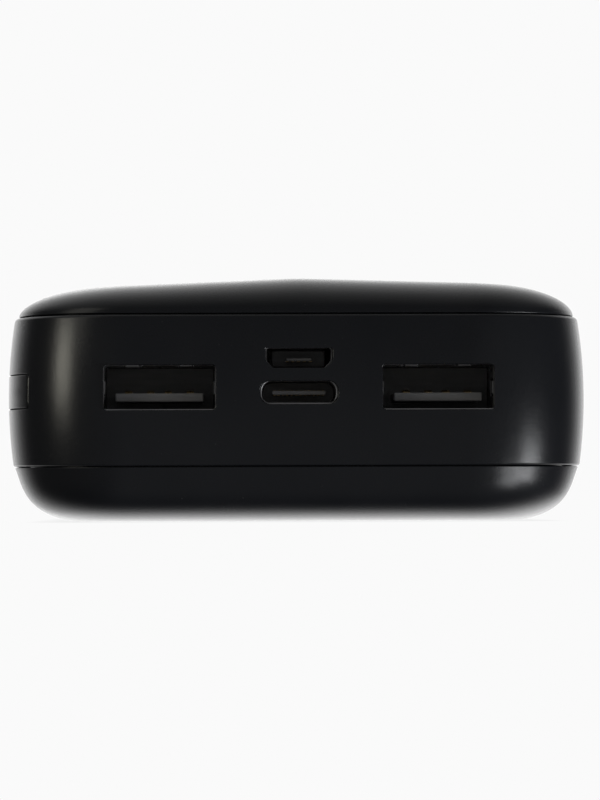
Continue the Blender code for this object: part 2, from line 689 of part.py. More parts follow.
def make_board_pieces():
    above = BOARD_HIGH + TOUCH
    below = BOARD_LOW - TOUCH
    inductor = block("inductor", INDUCTOR_SIZE, (7.0, -50.5, above + INDUCTOR_SIZE[2] / 2), FERRITE)
    bevel(inductor, 0.7)
    place = (-6.5, -51.5, above + CONTROLLER_SIZE[2] / 2)
    bevel(block("controller_chip", CONTROLLER_SIZE, place, CHIP_EPOXY), 0.12, 1)
    for number, x in enumerate((-9.0, 9.0)):
        place = (x, -47.5, below - TRANSISTOR_SIZE[2] / 2)
        bevel(block(f"power_transistor_{number + 1}", TRANSISTOR_SIZE, place, CHIP_EPOXY), 0.12, 1)
    for number, x in enumerate((-14.5, 15.5)):
        place = (x, -49.0, above + CAPACITOR_HEIGHT / 2)
        name = f"capacitor_{number + 1}"
        can = rod(name, CAPACITOR_RADIUS, CAPACITOR_HEIGHT, place, sides=20, material=CAN_ALUMINIUM)
        bevel(can, 0.3, 2)


# ---------------------------------------------------------------- charge lights
def light_places():
    return [LIGHT_FIRST_Y + LIGHT_PITCH * number for number in range(LIGHT_COUNT)]


def make_lights():
    """Four lamps under the board's edge shine into one clear guide, whose pins end flush with the band."""
    bar_length, bar_middle = span(*LIGHT_BAR_X)
    places = light_places()
    run, run_middle = span(places[0], places[-1])
    size = (bar_length, run + 2 * LIGHT_RADIUS + 0.4, LIGHT_BAR_HEIGHT)
    guide = block("light_guide", size, (bar_middle, run_middle, BAND_MIDDLE), GUIDE_CLEAR)
    pin_length, pin_middle = span(-WIDTH / 2 + 0.05, bar_middle)
    lamp_x = LIGHT_BAR_X[1] + 0.1 + LED_SIZE[0] / 2
    lamp_z = BOARD_LOW - TOUCH - LED_SIZE[2] / 2
    for number, y in enumerate(places):
        place = (pin_middle, y, BAND_MIDDLE)
        pin = rod(f"light_pin_{number + 1}", LIGHT_RADIUS, pin_length, place, "X", 12, helper=True)
        combine(guide, pin, "UNION")
        block(f"charge_led_{number + 1}", LED_SIZE, (lamp_x, y, lamp_z), LED_WHITE)


# ---------------------------------------------------------------- cells
def make_cells():
    width, length, height = CELL_SIZE
    middle_y = CELL_FRONT + length / 2
    upper_low = CELL_LOW + height + 2 * TOUCH + TAPE_THICK
    for name, low in (("lower_cell", CELL_LOW), ("upper_cell", upper_low)):
        cell = block(name, CELL_SIZE, (0, middle_y, low + height / 2), CELL_FOIL)
        bevel(cell, 1.4, 3)
    tape_z = CELL_LOW + height + TOUCH + TAPE_THICK / 2
    block("cell_tape", (width - 8, length - 12, TAPE_THICK), (0, middle_y, tape_z), TAPE_AMBER)
    gaps = {"upper": (upper_low + height, TOP_CEILING), "lower": (BOTTOM_FLOOR, CELL_LOW)}
    for word, (low, high) in gaps.items():
        thick, middle_z = span(low + TOUCH, high - TOUCH)
        block(f"{word}_foam_pad", (*FOAM_SIZE, thick), (0, middle_y, middle_z), FOAM_GREY)
    end_length, end_middle = span(CELL_FRONT + length + TOUCH, LENGTH / 2 - LIP_INNER_INSET - TOUCH)
    across, up = END_FOAM_SIZE
    block("end_foam_block", (across, end_length, up), (0, end_middle, BAND_MIDDLE), FOAM_GREY)


def make_straps_and_leads():
    """A nickel strap joins the two cells at each pole, and a lead runs from it over the board's edge."""
    strap_y = CELL_FRONT - TOUCH - STRAP_SIZE[1] / 2
    strap_z = CELL_LOW + CELL_SIZE[2] + TAPE_THICK / 2 + TOUCH
    start = strap_y - STRAP_SIZE[1] / 2 - 3 * TOUCH
    for side, pole, material in ((-1, "negative", LEAD_BLACK), (1, "positive", LEAD_RED)):
        x = side * STRAP_X
        block(f"{pole}_strap", STRAP_SIZE, (x, strap_y, strap_z), STRAP_NICKEL)
        route = [
            (x, start, strap_z + 5.8),
            (x, start - 1.4, strap_z + 5.8),
            (x - side * 1.5, start - 3.2, strap_z + 5.8),
            (x - side * 4.5, start - 4.6, strap_z + 5.0),
            (x - side * 7.5, start - 5.0, BOARD_HIGH + LEAD_RADIUS + 0.5),
            (x - side * 9.5, start - 5.0, BOARD_HIGH + LEAD_RADIUS + 2 * TOUCH),
            (x - side * 11.0, start - 5.0, BOARD_HIGH + LEAD_RADIUS + 2 * TOUCH),
        ]
        make_lead(f"{pole}_lead", smooth_route(route, 3), material)


def smooth_route(points, steps):
    """A Catmull-Rom curve through these points, with this many stretches between each two."""
    ends = [points[0], *points, points[-1]]
    knots = [Vector(point) for point in ends]
    route = []
    for before, first, second, after in zip(knots, knots[1:], knots[2:], knots[3:]):
        for step in range(steps):
            t = step / steps
            square = 2 * before - 5 * first + 4 * second - after
            cube = 3 * first - before - 3 * second + after
            route.append(0.5 * (2 * first + (second - before) * t + square * t**2 + cube * t**3))
    return [*route, knots[-1]]


def make_lead(name, route, material):
    curve = bpy.data.curves.new(name, "CURVE")
    curve.dimensions = "3D"
    curve.bevel_depth = LEAD_RADIUS * MM
    curve.bevel_resolution = 2
    curve.use_fill_caps = True
    spline = curve.splines.new("POLY")
    spline.points.add(len(route) - 1)
    for point, place in zip(spline.points, route):
        point.co = (*(place * MM), 1.0)
    curve.materials.append(material)
    PARTS.objects.link(bpy.data.objects.new(name, curve))


make_band()
make_top_cover()
make_bottom_cover()
BUTTON_SLIDE = make_button_slide()
make_button(BUTTON_SLIDE)
make_switch(BUTTON_SLIDE)
for socket_side, socket_word in ((-1, "left"), (1, "right")):
    make_usb_a(socket_side, socket_word)
make_usb_c()
make_micro_usb()
make_board()
make_board_pieces()
make_lights()
make_cells()
make_straps_and_leads()
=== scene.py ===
import json
import math

import bmesh
import bpy
from mathutils import Matrix, Vector


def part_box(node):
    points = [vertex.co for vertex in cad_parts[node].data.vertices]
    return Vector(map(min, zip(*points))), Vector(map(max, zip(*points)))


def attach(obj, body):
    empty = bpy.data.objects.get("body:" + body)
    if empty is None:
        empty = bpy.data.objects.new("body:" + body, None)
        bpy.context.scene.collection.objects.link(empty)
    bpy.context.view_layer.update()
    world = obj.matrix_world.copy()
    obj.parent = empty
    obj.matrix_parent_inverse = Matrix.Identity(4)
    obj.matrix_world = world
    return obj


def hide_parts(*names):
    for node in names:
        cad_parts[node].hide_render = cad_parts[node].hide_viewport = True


# The looks of a pocket power bank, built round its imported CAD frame.
#
# The outside and everything that shows through the socket openings is modelled again here, with finer
# meshes.
# What lies inside keeps its CAD mesh and gets a better material. Shapes are in millimetres until
# finish_mesh() turns them into the frame's metres. The sockets are in the end that faces -Y.

MM = 0.001
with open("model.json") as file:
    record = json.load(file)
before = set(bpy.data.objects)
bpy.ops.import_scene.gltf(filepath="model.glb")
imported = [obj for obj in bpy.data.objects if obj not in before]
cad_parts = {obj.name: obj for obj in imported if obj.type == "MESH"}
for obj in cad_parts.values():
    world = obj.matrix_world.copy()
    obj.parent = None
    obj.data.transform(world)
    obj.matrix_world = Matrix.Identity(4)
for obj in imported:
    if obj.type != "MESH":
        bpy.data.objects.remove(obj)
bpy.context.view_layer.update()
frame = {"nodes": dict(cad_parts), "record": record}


def box_mm(node):
    """A CAD node's lowest and highest corners, in millimetres."""
    low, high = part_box(node)
    return low / MM, high / MM


# --- sizes
(_, _, BAND_LOW), (HALF_X, HALF_Y, BAND_HIGH) = box_mm("middle_band")
BAND_MIDDLE = (BAND_LOW + BAND_HIGH) / 2
CORNER_RADIUS = 14.0
LEAST_RADIUS = 0.4
ARC_X, ARC_Y = HALF_X - CORNER_RADIUS, HALF_Y - CORNER_RADIUS  # the middle of a corner's arc

BAND_WIDEST = 14.1
BAND_BULGE = 0.65
BAND_EDGE_LOW = 0.25
BAND_EDGE_HIGH = 0.45
BAND_WALL_INSET = 2.4
SEAM_GAP = 0.10

TOP_HEIGHT = box_mm("top_cover")[1].z - BAND_HIGH
TOP_SLOPE_LEFT = 0.042
TOP_SLOPE_RIGHT = 0.028
TOP_RIDGE = 1.0  # the ridge is rounded over about this much on each side
TOP_EDGE_INSET = 1.2
TOP_REACH = 8.6
TOP_POWER = 1.89
TOP_CEILING = 25.3
TOP_RING_INSETS = (HALF_X - 0.25, 31.0, 28.0, 24.0, 20.0, 16.5, 14.0, 12.3)
CEILING_FILLET = 4.0
BOTTOM_EDGE_INSET = 0.75
BOTTOM_SLOPE = 0.30  # how fast the bottom cover's side draws in below the seam
BOTTOM_REACH = 6.0
BOTTOM_POWER = 3.5
BOTTOM_FLOOR = 1.7
BOTTOM_RING_INSETS = (HALF_X - 0.25, 24.0, 16.0, 11.0)
FLOOR_FILLET = 6.0
COVER_EDGE = 0.12  # rounding of a cover's edge at the seam
LIP_OUTER_INSET = BAND_WALL_INSET + SEAM_GAP
LIP_INNER_INSET = 3.7
LIP_DEPTH = 1.8
POST_RADIUS = 2.6
POST_HOLE_RADIUS = 1.1
POST_HOLE_DEPTH = 7.0

FRONT_LIP = 1.0  # the band's wall in front of the socket shells
MOUTH_RIM = 0.14  # rounding of the edges of the openings
RIM_FIRST_ANGLE = 28  # degrees of a rim's quarter round that are left out, where it meets the face
FRONT_WALL_CUT = 2.0  # depth of the cuts in the end wall
SIDE_WALL_CUT = 6.0
SHELL_POCKET_GAP = 0.15
SHELL_POCKET_END = 6.0
COLLAR_GAP = 0.02
COLLAR_SETBACK = 0.12
COLLAR_BEVEL = 0.92  # the lip's depth for each millimetre of its height
COLLAR_THIN = 0.015  # thickness at the top and the sides
COLLAR_REACH = 0.1  # how far it goes past the CAD shells' front
USB_A_OPENING = (12.65, 5.12)
USB_A_OPENING_CORNER = 0.4
USB_A_COLLAR_LIP = 0.1  # height of the collar's lower lip
USB_A_SETBACK = 0.2  # how much deeper than in the CAD the shell starts
USB_A_STEEL = 0.3
USB_A_TONGUE = (9.9, 0.95)
USB_A_TONGUE_DROP = 1.08  # from the socket's middle to the tongue's
USB_A_BASE_DEPTH = 3.0
SPRING_WIDTH = 1.6
SPRING_THICKNESS = 0.16
SPRING_OFFSET = 3.0
SPRING_ROOT = 5.6
SPRING_LIFTS = {"top": 0.42, "bottom": 0.2, "side": 0.4}  # shares of the path's lift
USB_C_OPENING = (8.85, 2.66)
USB_C_OPENING_CORNER = 1.2
USB_C_COLLAR_LIP = 0.16
USB_C_SETBACK = 0.3
USB_C_STEEL = 0.3
USB_C_TONGUE = (6.0, 0.45)
USB_C_BASE_DEPTH = 1.8
USB_C_PITCH = 0.5
USB_C_CONTACT_WIDTH = 0.26
MICRO_OPENING = (7.56, 2.24)
MICRO_OPENING_CHAMFER = 0.8
MICRO_SETBACK = 0.8
MICRO_STEEL = 0.1
MICRO_CHAMFER = 0.85
MICRO_TONGUE = (2.9, 0.36)
MICRO_TONGUE_DROP = 0.19
MICRO_BASE_DEPTH = 1.5
MICRO_PITCH = 0.65
MICRO_CONTACT_WIDTH = 0.35
CONTACT_END_GAP = 0.1  # from a contact's rear end to its insulator's base
CHAMFER_GROWTH = 0.586  # how much a chamfer grows for each millimetre that its outline does
CONTACT_HALF = 0.05  # a spring contact's half thickness
STRIP_THICKNESS = 0.05

BUTTON_Y = -57.5
BUTTON_SIZE = (11.0, 3.8)
BUTTON_CORNER = 0.5
BUTTON_GAP = 0.1
BUTTON_EDGE = 0.15
BUTTON_RIM = 0.15
BUTTON_CAP_DEPTH = 3.0
BUTTON_FLANGE_MARGIN = 0.8
BUTTON_FLANGE_INSETS = (2.5, 3.3)
BUTTON_FLANGE_EDGE = 0.15
BUTTON_POST_SIZE = 2.4
BUTTON_POST_EDGE = 0.3

LIGHT_YS = (-49.2, -46.9, -44.6, -42.3)
LIGHT_RADIUS = 0.75
LIGHT_GAP = 0.1
LIGHT_RIM = 0.08
LIGHT_PIN_EDGE = 0.3
LIGHT_PIN_SETBACK = 0.06
LIGHT_BAR_DEPTH = 2.5
LIGHT_BAR_EDGE = 0.2


# --- meshes
def add_object(name, data):
    obj = bpy.data.objects.new(name, data)
    bpy.context.scene.collection.objects.link(obj)
    return obj


def finish_mesh(name, bm, material=None):
    """Turns bm into an object in metres, facing outwards and smooth except at its sharp edges."""
    bmesh.ops.remove_doubles(bm, verts=bm.verts, dist=1e-4)
    bmesh.ops.recalc_face_normals(bm, faces=bm.faces)
    bmesh.ops.scale(bm, vec=Vector((MM, MM, MM)), verts=bm.verts)
    mesh = bpy.data.meshes.new(name)
    bm.to_mesh(mesh)
    bm.free()
    obj = add_object(name, mesh)
    if material:
        mesh.materials.append(material)
    smooth(obj)
    return obj


def smooth(obj, angle=32):
    for face in obj.data.polygons:
        face.use_smooth = True
    obj.data.set_sharp_from_angle(angle=math.radians(angle))


def skin(name, rings, material=None, closed=False):
    """A surface through rings of points, each mirrored about an axis of symmetry that it starts on.

    It is closed from the last ring back to the first, or else by strips across its first and last ring.
    """
    bm = bmesh.new()
    made = [[bm.verts.new(point) for point in ring] for ring in rings]
    count = len(made[0])
    for first, second in zip(made, made[1:] + made[:1] if closed else made[1:]):
        for k in range(count):
            n = (k + 1) % count
            bm.faces.new((first[k], first[n], second[n], second[k]))
    if not closed:
        for ring in (made[0], made[-1]):
            for k in range(count // 2):
                across = {ring[k]: 0, ring[k + 1]: 0, ring[(-k - 1) % count]: 0, ring[-k % count]: 0}
                bm.faces.new(list(across))
    return finish_mesh(name, bm, material)


def rounded(half_long, half_short, radius, long_steps, short_steps, corner_steps, stations=None):
    """(along, across) round a rounded rectangle, from the middle of one short side.

    stations are the places of the points on half of a short side, as shares of it.
    """
    stations = stations or [step / short_steps for step in range(short_steps + 1)]
    straight = half_short - radius
    upper = [(half_long, straight * share) for share in stations[:-1]]
    for step in range(corner_steps + 1):
        angle = math.pi / 2 * step / corner_steps
        upper.append((half_long - radius + radius * math.cos(angle), straight + radius * math.sin(angle)))
    for step in range(1, long_steps // 2):
        upper.append(((half_long - radius) * (1 - 2 * step / long_steps), half_short))
    upper.append((0.0, half_short))
    back = [(-along, across) for along, across in reversed(upper[:-1])]
    half = upper + back
    return half + [(along, -across) for along, across in reversed(half[1:-1])]


def arc_stations(radius, steps, first=0.0):
    """(grow, deep) down a quarter round that turns from level to square in. It starts at first degrees."""
    start = math.radians(first)
    for step in range(steps + 1):
        angle = start + (math.pi / 2 - start) * step / steps
        yield radius * (1 - math.sin(angle)), radius * (1 - math.cos(angle))


def cylinder_rings(radii_and_places, sides, place):
    """Rings of a turned shape. place(along, across, where) puts a ring's point at a place on the axis."""
    rings = []
    for radius, where in radii_and_places:
        ring = []
        for k in range(sides):
            angle = 2 * math.pi * k / sides
            ring.append(place(radius * math.cos(angle), radius * math.sin(angle), where))
        rings.append(ring)
    return rings


def apply_booleans(obj, steps):
    """steps are (operation, tool); the tools are used up."""
    for operation, tool in steps:
        modifier = obj.modifiers.new(tool.name, "BOOLEAN")
        modifier.operation = operation
        modifier.object = tool
        modifier.solver = "EXACT"
    graph = bpy.context.evaluated_depsgraph_get()
    mesh = bpy.data.meshes.new_from_object(obj.evaluated_get(graph))
    obj.modifiers.clear()
    obj.data = mesh
    for _, tool in steps:
        bpy.data.objects.remove(tool)
    tidy_cut(mesh)
    smooth(obj)


def tidy_cut(mesh):
    """Joins the points that a boolean leaves too close together, and drops what has no area."""
    bm = bmesh.new()
    bm.from_mesh(mesh)
    bmesh.ops.remove_doubles(bm, verts=bm.verts, dist=1e-6)
    bmesh.ops.dissolve_degenerate(bm, edges=bm.edges, dist=1e-7)
    bm.to_mesh(mesh)
    bm.free()


# --- the case's shape
END_STATIONS = (0, 0.035, 0.08, 0.15, 0.3, 0.45, 0.6, 0.75, 0.88, 1)


def case_ring(inset, height, corner_steps=20, long_steps=16):
    """The case's plan outline, this far in from its widest. height is a number, or a function of x."""
    half_x, half_y = HALF_X - inset, HALF_Y - inset
    radius = min(max(CORNER_RADIUS - inset, LEAST_RADIUS), half_x - 0.02)
    flat = rounded(half_y, half_x, radius, long_steps, 0, corner_steps, END_STATIONS)
    return [Vector((x, y, height(x) if callable(height) else height)) for y, x in flat]


def band_inset(height):
    half = (BAND_HIGH - BAND_LOW) / 2
    return BAND_BULGE * ((height - BAND_WIDEST) / half) ** 2


def quarter_turn(steps, power=2.0):
    """(across, up) from (0, 0) to (1, 1) along a quarter of a superellipse that starts straight up."""
    for step in range(steps + 1):
        angle = math.pi / 2 * step / steps
        yield 1 - max(math.cos(angle), 0.0) ** (2 / power), math.sin(angle) ** (2 / power)


def band_side(levels=20, edge_steps=6):
    """(inset, height) up the band's outer side, with its two edges rounded."""
    side = []
    for across, up in reversed(list(quarter_turn(edge_steps))):
        height = BAND_LOW + BAND_EDGE_LOW * (1 - up)
        side.append((band_inset(height) + BAND_EDGE_LOW * across, height))
    low, high = BAND_LOW + BAND_EDGE_LOW, BAND_HIGH - BAND_EDGE_HIGH
    for step in range(1, levels):
        height = low + (high - low) * step / levels
        side.append((band_inset(height), height))
    for across, up in quarter_turn(edge_steps):
        height = BAND_HIGH - BAND_EDGE_HIGH * (1 - up)
        side.append((band_inset(height) + BAND_EDGE_HIGH * across, height))
    return side


def band_normal(point):
    """The way the band's outer face looks at a point of it, both in metres."""
    x, y, z = point / MM
    out = Vector((0.0, 0.0))
    if abs(x) > ARC_X:
        out.x = x - math.copysign(ARC_X, x)
    if abs(y) > ARC_Y:
        out.y = y - math.copysign(ARC_Y, y)
    if out.length < 1e-6:
        return None
    out.normalize()
    half = (BAND_HIGH - BAND_LOW) / 2
    tilt = 2 * BAND_BULGE * (z - BAND_WIDEST) / half**2
    return Vector((out.x, out.y, tilt)).normalized()


def set_normals(obj, normal_at, within=14):
    """Gives each corner of a face that looks nearly the way normal_at says exactly that normal."""
    mesh = obj.data
    least = math.cos(math.radians(within))
    normals = [Vector(corner.vector) for corner in mesh.corner_normals]
    for face in mesh.polygons:
        for index in face.loop_indices:
            exact = normal_at(mesh.vertices[mesh.loops[index].vertex_index].co)
            if exact and exact.dot(face.normal) > least:
                normals[index] = exact
    mesh.normals_split_custom_set(normals)


def front_y(height):
    """The band's front face at a height."""
    return -HALF_Y + band_inset(height)


def side_x(y, inset):
    """The band's outline on its -X side, this far in."""
    along = max(abs(y) - ARC_Y, 0.0)
    return -ARC_X - math.sqrt((CORNER_RADIUS - inset) ** 2 - along**2)


# --- band
def mouth_stations(rim, depth):
    """(grow, deep) of a cutter's rings, from outside the wall down its rounded rim and through it."""
    rounding = list(arc_stations(rim, 4, RIM_FIRST_ANGLE))
    return [(rounding[0][0], -1.0), *rounding, (0.0, depth)]


def front_cutter(name, outline_at, x, z):
    """A plug hole, whose mouth widens by a quarter round that follows the band's face."""
    rings = []
    for grow, deep in mouth_stations(MOUTH_RIM, FRONT_WALL_CUT):
        rings.append([Vector((x + u, front_y(z + v) + deep, z + v)) for u, v in outline_at(grow)])
    return skin(name, rings)


def side_cutter(name, outline_at, y, z, rim):
    rings = []
    for grow, deep in mouth_stations(rim, SIDE_WALL_CUT):
        ring = []
        for u, v in outline_at(grow):
            ring.append(Vector((side_x(y + u, band_inset(z + v)) + deep, y + u, z + v)))
        rings.append(ring)
    return skin(name, rings)


def front_ring(outline, x, y, z):
    """An outline stood up across Y, with its middle at x, y, z."""
    return [Vector((x + u, y, z + v)) for u, v in outline]


def pocket_cutter(name, outline, x, z):
    """Behind its lip the wall is open as wide as the socket's shell."""
    places = (-HALF_Y + FRONT_LIP, -HALF_Y + SHELL_POCKET_END)
    return skin(name, [front_ring(outline, x, y, z) for y in places])


def box_outline(size, radius, corner_steps=5):
    """outline_at(grow) of a rounded rectangle of this size."""
    def outline_at(grow):
        half_long, half_short = size[0] / 2 + grow, size[1] / 2 + grow
        return rounded(half_long, half_short, radius + grow, 12, 4, corner_steps)
    return outline_at


def micro_outline(size, chamfer, corner=0.25):
    """outline_at(grow) of the micro-USB shape: a rectangle whose two lower corners are cut off."""
    def outline_at(grow):
        half_x, half_z = size[0] / 2 + grow, size[1] / 2 + grow
        cut = chamfer + CHAMFER_GROWTH * grow
        right = []
        for share in (0.0, 0.25, 0.5, 0.75):
            right.append(((half_x - corner) * share, half_z))
        for step in range(5):
            angle = math.pi / 2 * (1 - step / 4)
            u = half_x - corner + corner * math.cos(angle)
            right.append((u, half_z - corner + corner * math.sin(angle)))
        right += [(half_x, 0.0), (half_x, cut - half_z + 0.12), (half_x - 0.08, cut - half_z - 0.06)]
        right += [(half_x - cut + 0.06, 0.08 - half_z), (half_x - cut - 0.12, -half_z)]
        for share in (0.66, 0.33, 0.0):
            right.append(((half_x - cut - 0.12) * share, -half_z))
        return right + [(-u, v) for u, v in reversed(right[1:-1])]
    return outline_at


def circle_outline(radius, sides=28):
    def outline_at(grow):
        turn = [2 * math.pi * k / sides for k in range(sides)]
        return [((radius + grow) * math.cos(a), (radius + grow) * math.sin(a)) for a in turn]
    return outline_at


def socket_place(shell):
    """(width, depth, height), x, z and the front of a socket's shell, from its CAD node."""
    low, high = box_mm(shell)
    return (high.x - low.x, high.y - low.y, high.z - low.z), (low.x + high.x) / 2, (low.z + high.z) / 2, low.y


def make_band(material):
    rings = [case_ring(BAND_WALL_INSET, BAND_LOW)]
    rings += [case_ring(inset, height) for inset, height in band_side()]
    rings.append(case_ring(BAND_WALL_INSET, BAND_HIGH))
    band = skin("band_shell", rings, material, closed=True)
    shells = (USB_A_SHELL, USB_C_SHELL, MICRO_SHELL)
    a_size, c_size, micro_size = [[shell[k] + 2 * SHELL_POCKET_GAP for k in (0, 2)] for shell in shells]
    a_mouth, a_pocket = box_outline(USB_A_OPENING, USB_A_OPENING_CORNER), box_outline(a_size, 0.5)
    c_mouth, c_pocket = box_outline(USB_C_OPENING, USB_C_OPENING_CORNER, 8), box_outline(c_size, 1.5, 8)
    micro_mouth = micro_outline(MICRO_OPENING, MICRO_OPENING_CHAMFER)
    sockets = [
        ("a_left", a_mouth, a_pocket, -USB_A_X, USB_A_Z),
        ("a_right", a_mouth, a_pocket, USB_A_X, USB_A_Z),
        ("c", c_mouth, c_pocket, 0, USB_C_Z),
        ("micro", micro_mouth, micro_outline(micro_size, 0.9), 0, MICRO_Z),
    ]
    tools = []
    for name, mouth, pocket, x, z in sockets:
        tools.append(front_cutter(f"mouth_{name}", mouth, x, z))
        tools.append(pocket_cutter(f"pocket_{name}", pocket(0), x, z))
    hole = [side + 2 * BUTTON_GAP for side in BUTTON_SIZE]
    outline_at = box_outline(hole, BUTTON_CORNER + BUTTON_GAP)
    tools.append(side_cutter("button_mouth", outline_at, BUTTON_Y, BAND_MIDDLE, BUTTON_RIM))
    for number, y in enumerate(LIGHT_YS):
        outline_at = circle_outline(LIGHT_RADIUS + LIGHT_GAP)
        tools.append(side_cutter(f"light_mouth_{number + 1}", outline_at, y, BAND_MIDDLE, LIGHT_RIM))
    apply_booleans(band, [("DIFFERENCE", tool) for tool in tools])
    set_normals(band, band_normal)
    add_piece(band, "case", "band_plastic", "middle_band")


# --- covers
def lip_rings(seam, inward):
    """The lip that locates a cover inside the band. inward is 1 or -1, along Z."""
    tip = seam + inward * (LIP_DEPTH + SEAM_GAP)
    profile = ((LIP_OUTER_INSET, seam), (LIP_OUTER_INSET, tip), (LIP_INNER_INSET, tip))
    return [case_ring(inset, height) for inset, height in profile]


def top_surface(share):
    """Height over x of the top cover's outside, at a share of its full height above the seam."""
    seam = BAND_HIGH + SEAM_GAP

    def height(x):
        soft = math.sqrt(x * x + TOP_RIDGE**2) - TOP_RIDGE
        slope = TOP_SLOPE_LEFT if x < 0 else TOP_SLOPE_RIGHT
        return seam + share * (TOP_HEIGHT - SEAM_GAP - slope * soft)
    return height


def make_top_cover(material):
    seam = BAND_HIGH + SEAM_GAP
    rings = [case_ring(inset, top_surface(1)) for inset in TOP_RING_INSETS]
    for across, up in reversed(list(quarter_turn(26, TOP_POWER))):
        if up * TOP_HEIGHT > COVER_EDGE * 1.5:
            rings.append(case_ring(TOP_EDGE_INSET + TOP_REACH * across, top_surface(up)))
    for grow, deep in list(arc_stations(COVER_EDGE, 3))[::-1]:
        rings.append(case_ring(TOP_EDGE_INSET + grow, seam + deep))
    rings += lip_rings(seam, -1)
    for across, up in quarter_turn(6):
        height = seam + (TOP_CEILING - seam) * up
        rings.append(case_ring(LIP_INNER_INSET + CEILING_FILLET * across, height))
    cover = skin("top_cover_shell", rings, material)
    add_piece(cover, "case", "cover_plastic", "top_cover")


def bottom_side(steps):
    """(inset, height) down the bottom cover's side, from the seam to where it turns flat."""
    seam = BAND_LOW - SEAM_GAP
    for step in range(steps + 1):
        angle = math.pi / 2 * step / steps
        fall = math.sin(angle) ** (2 / BOTTOM_POWER)
        inset = BOTTOM_EDGE_INSET + BOTTOM_SLOPE * seam * fall + BOTTOM_REACH * (1 - math.cos(angle))
        yield inset, seam * (1 - fall)


def make_bottom_cover(material):
    seam = BAND_LOW - SEAM_GAP
    rings = [case_ring(inset, 0.0) for inset in BOTTOM_RING_INSETS]
    rings += [case_ring(inset, height) for inset, height in list(bottom_side(40))[:0:-1]]
    for grow, deep in list(arc_stations(COVER_EDGE, 3))[::-1]:
        rings.append(case_ring(BOTTOM_EDGE_INSET + grow, seam - deep))
    rings += lip_rings(seam, 1)
    for across, up in quarter_turn(6):
        height = seam + (BOTTOM_FLOOR - seam) * up
        rings.append(case_ring(LIP_INNER_INSET + FLOOR_FILLET * across, height))
    cover = skin("bottom_cover_shell", rings, material)
    post_top = box_mm("main_board")[0].z - 0.05
    tools = []
    for word in ("left", "right"):
        low, high = box_mm(f"board_screw_{word}")
        x, y = (low.x + high.x) / 2, (low.y + high.y) / 2
        post = [(POST_RADIUS + 0.5, BOTTOM_FLOOR - 0.5), (POST_RADIUS, BOTTOM_FLOOR + 0.6)]
        post += [(POST_RADIUS, post_top - 0.2), (POST_RADIUS - 0.2, post_top)]
        hole = [(POST_HOLE_RADIUS, post_top - POST_HOLE_DEPTH), (POST_HOLE_RADIUS, post_top + 1)]
        for operation, name, shape in (("UNION", "post", post), ("DIFFERENCE", "post_hole", hole)):
            rings = cylinder_rings(shape, 32, lambda u, v, z: Vector((x + u, y + v, z)))
            tools.append((operation, skin(f"{name}_{word}", rings)))
    apply_booleans(cover, tools)
    add_piece(cover, "case", "cover_plastic", "bottom_cover")


# --- button and lights
def make_button(material):
    """The cap's face follows the band. Its flange stays behind the wall, and its post meets the switch."""
    long_steps, short_steps = 40, 8

    def cap_ring(grow, deep):
        half_long, half_short = BUTTON_SIZE[0] / 2 + grow, BUTTON_SIZE[1] / 2 + grow
        radius = max(BUTTON_CORNER + grow, 0.05)
        flat = rounded(half_long, half_short, radius, long_steps, short_steps, 6)
        ring = []
        for u, v in flat:
            y, z = BUTTON_Y + u, BAND_MIDDLE + v
            ring.append(Vector((side_x(y, band_inset(z)) + deep, y, z)))
        return ring

    def flange_ring(inset):
        half_long, half_short = [side / 2 + BUTTON_FLANGE_MARGIN for side in BUTTON_SIZE]
        radius = BUTTON_CORNER + BUTTON_FLANGE_MARGIN
        flat = rounded(half_long, half_short, radius, long_steps, short_steps, 6)
        return [Vector((side_x(BUTTON_Y + u, inset), BUTTON_Y + u, BAND_MIDDLE + v)) for u, v in flat]

    rings = [cap_ring(grow, 0.0) for grow in (-1.86, -1.2, -0.7, -0.4)]
    for step in range(6):
        angle = math.pi / 2 * step / 5
        rings.append(cap_ring(-BUTTON_EDGE * (1 - math.sin(angle)), BUTTON_EDGE * (1 - math.cos(angle))))
    rings.append(cap_ring(0.0, BUTTON_CAP_DEPTH))
    button = skin("button_cap", rings, material)
    low, high = BUTTON_FLANGE_INSETS
    insets = (low, low + BUTTON_FLANGE_EDGE, high - BUTTON_FLANGE_EDGE, high)
    flange = skin("button_flange", [flange_ring(inset) for inset in insets])
    post_end = box_mm("power_button")[1].x
    half = BUTTON_POST_SIZE / 2
    edge = BUTTON_POST_EDGE
    outline = rounded(half, half, edge, 4, 2, 4)
    post_rings = []
    for grow, x in ((0.0, post_end - 3.0), (0.0, post_end - edge), (-edge, post_end)):
        wide = 1 + grow / half
        post_rings.append([Vector((x, BUTTON_Y + u * wide, BAND_MIDDLE + v * wide)) for u, v in outline])
    post = skin("button_post", post_rings)
    apply_booleans(button, [("UNION", flange), ("UNION", post)])
    add_piece(button, "button", "button_plastic", "power_button")


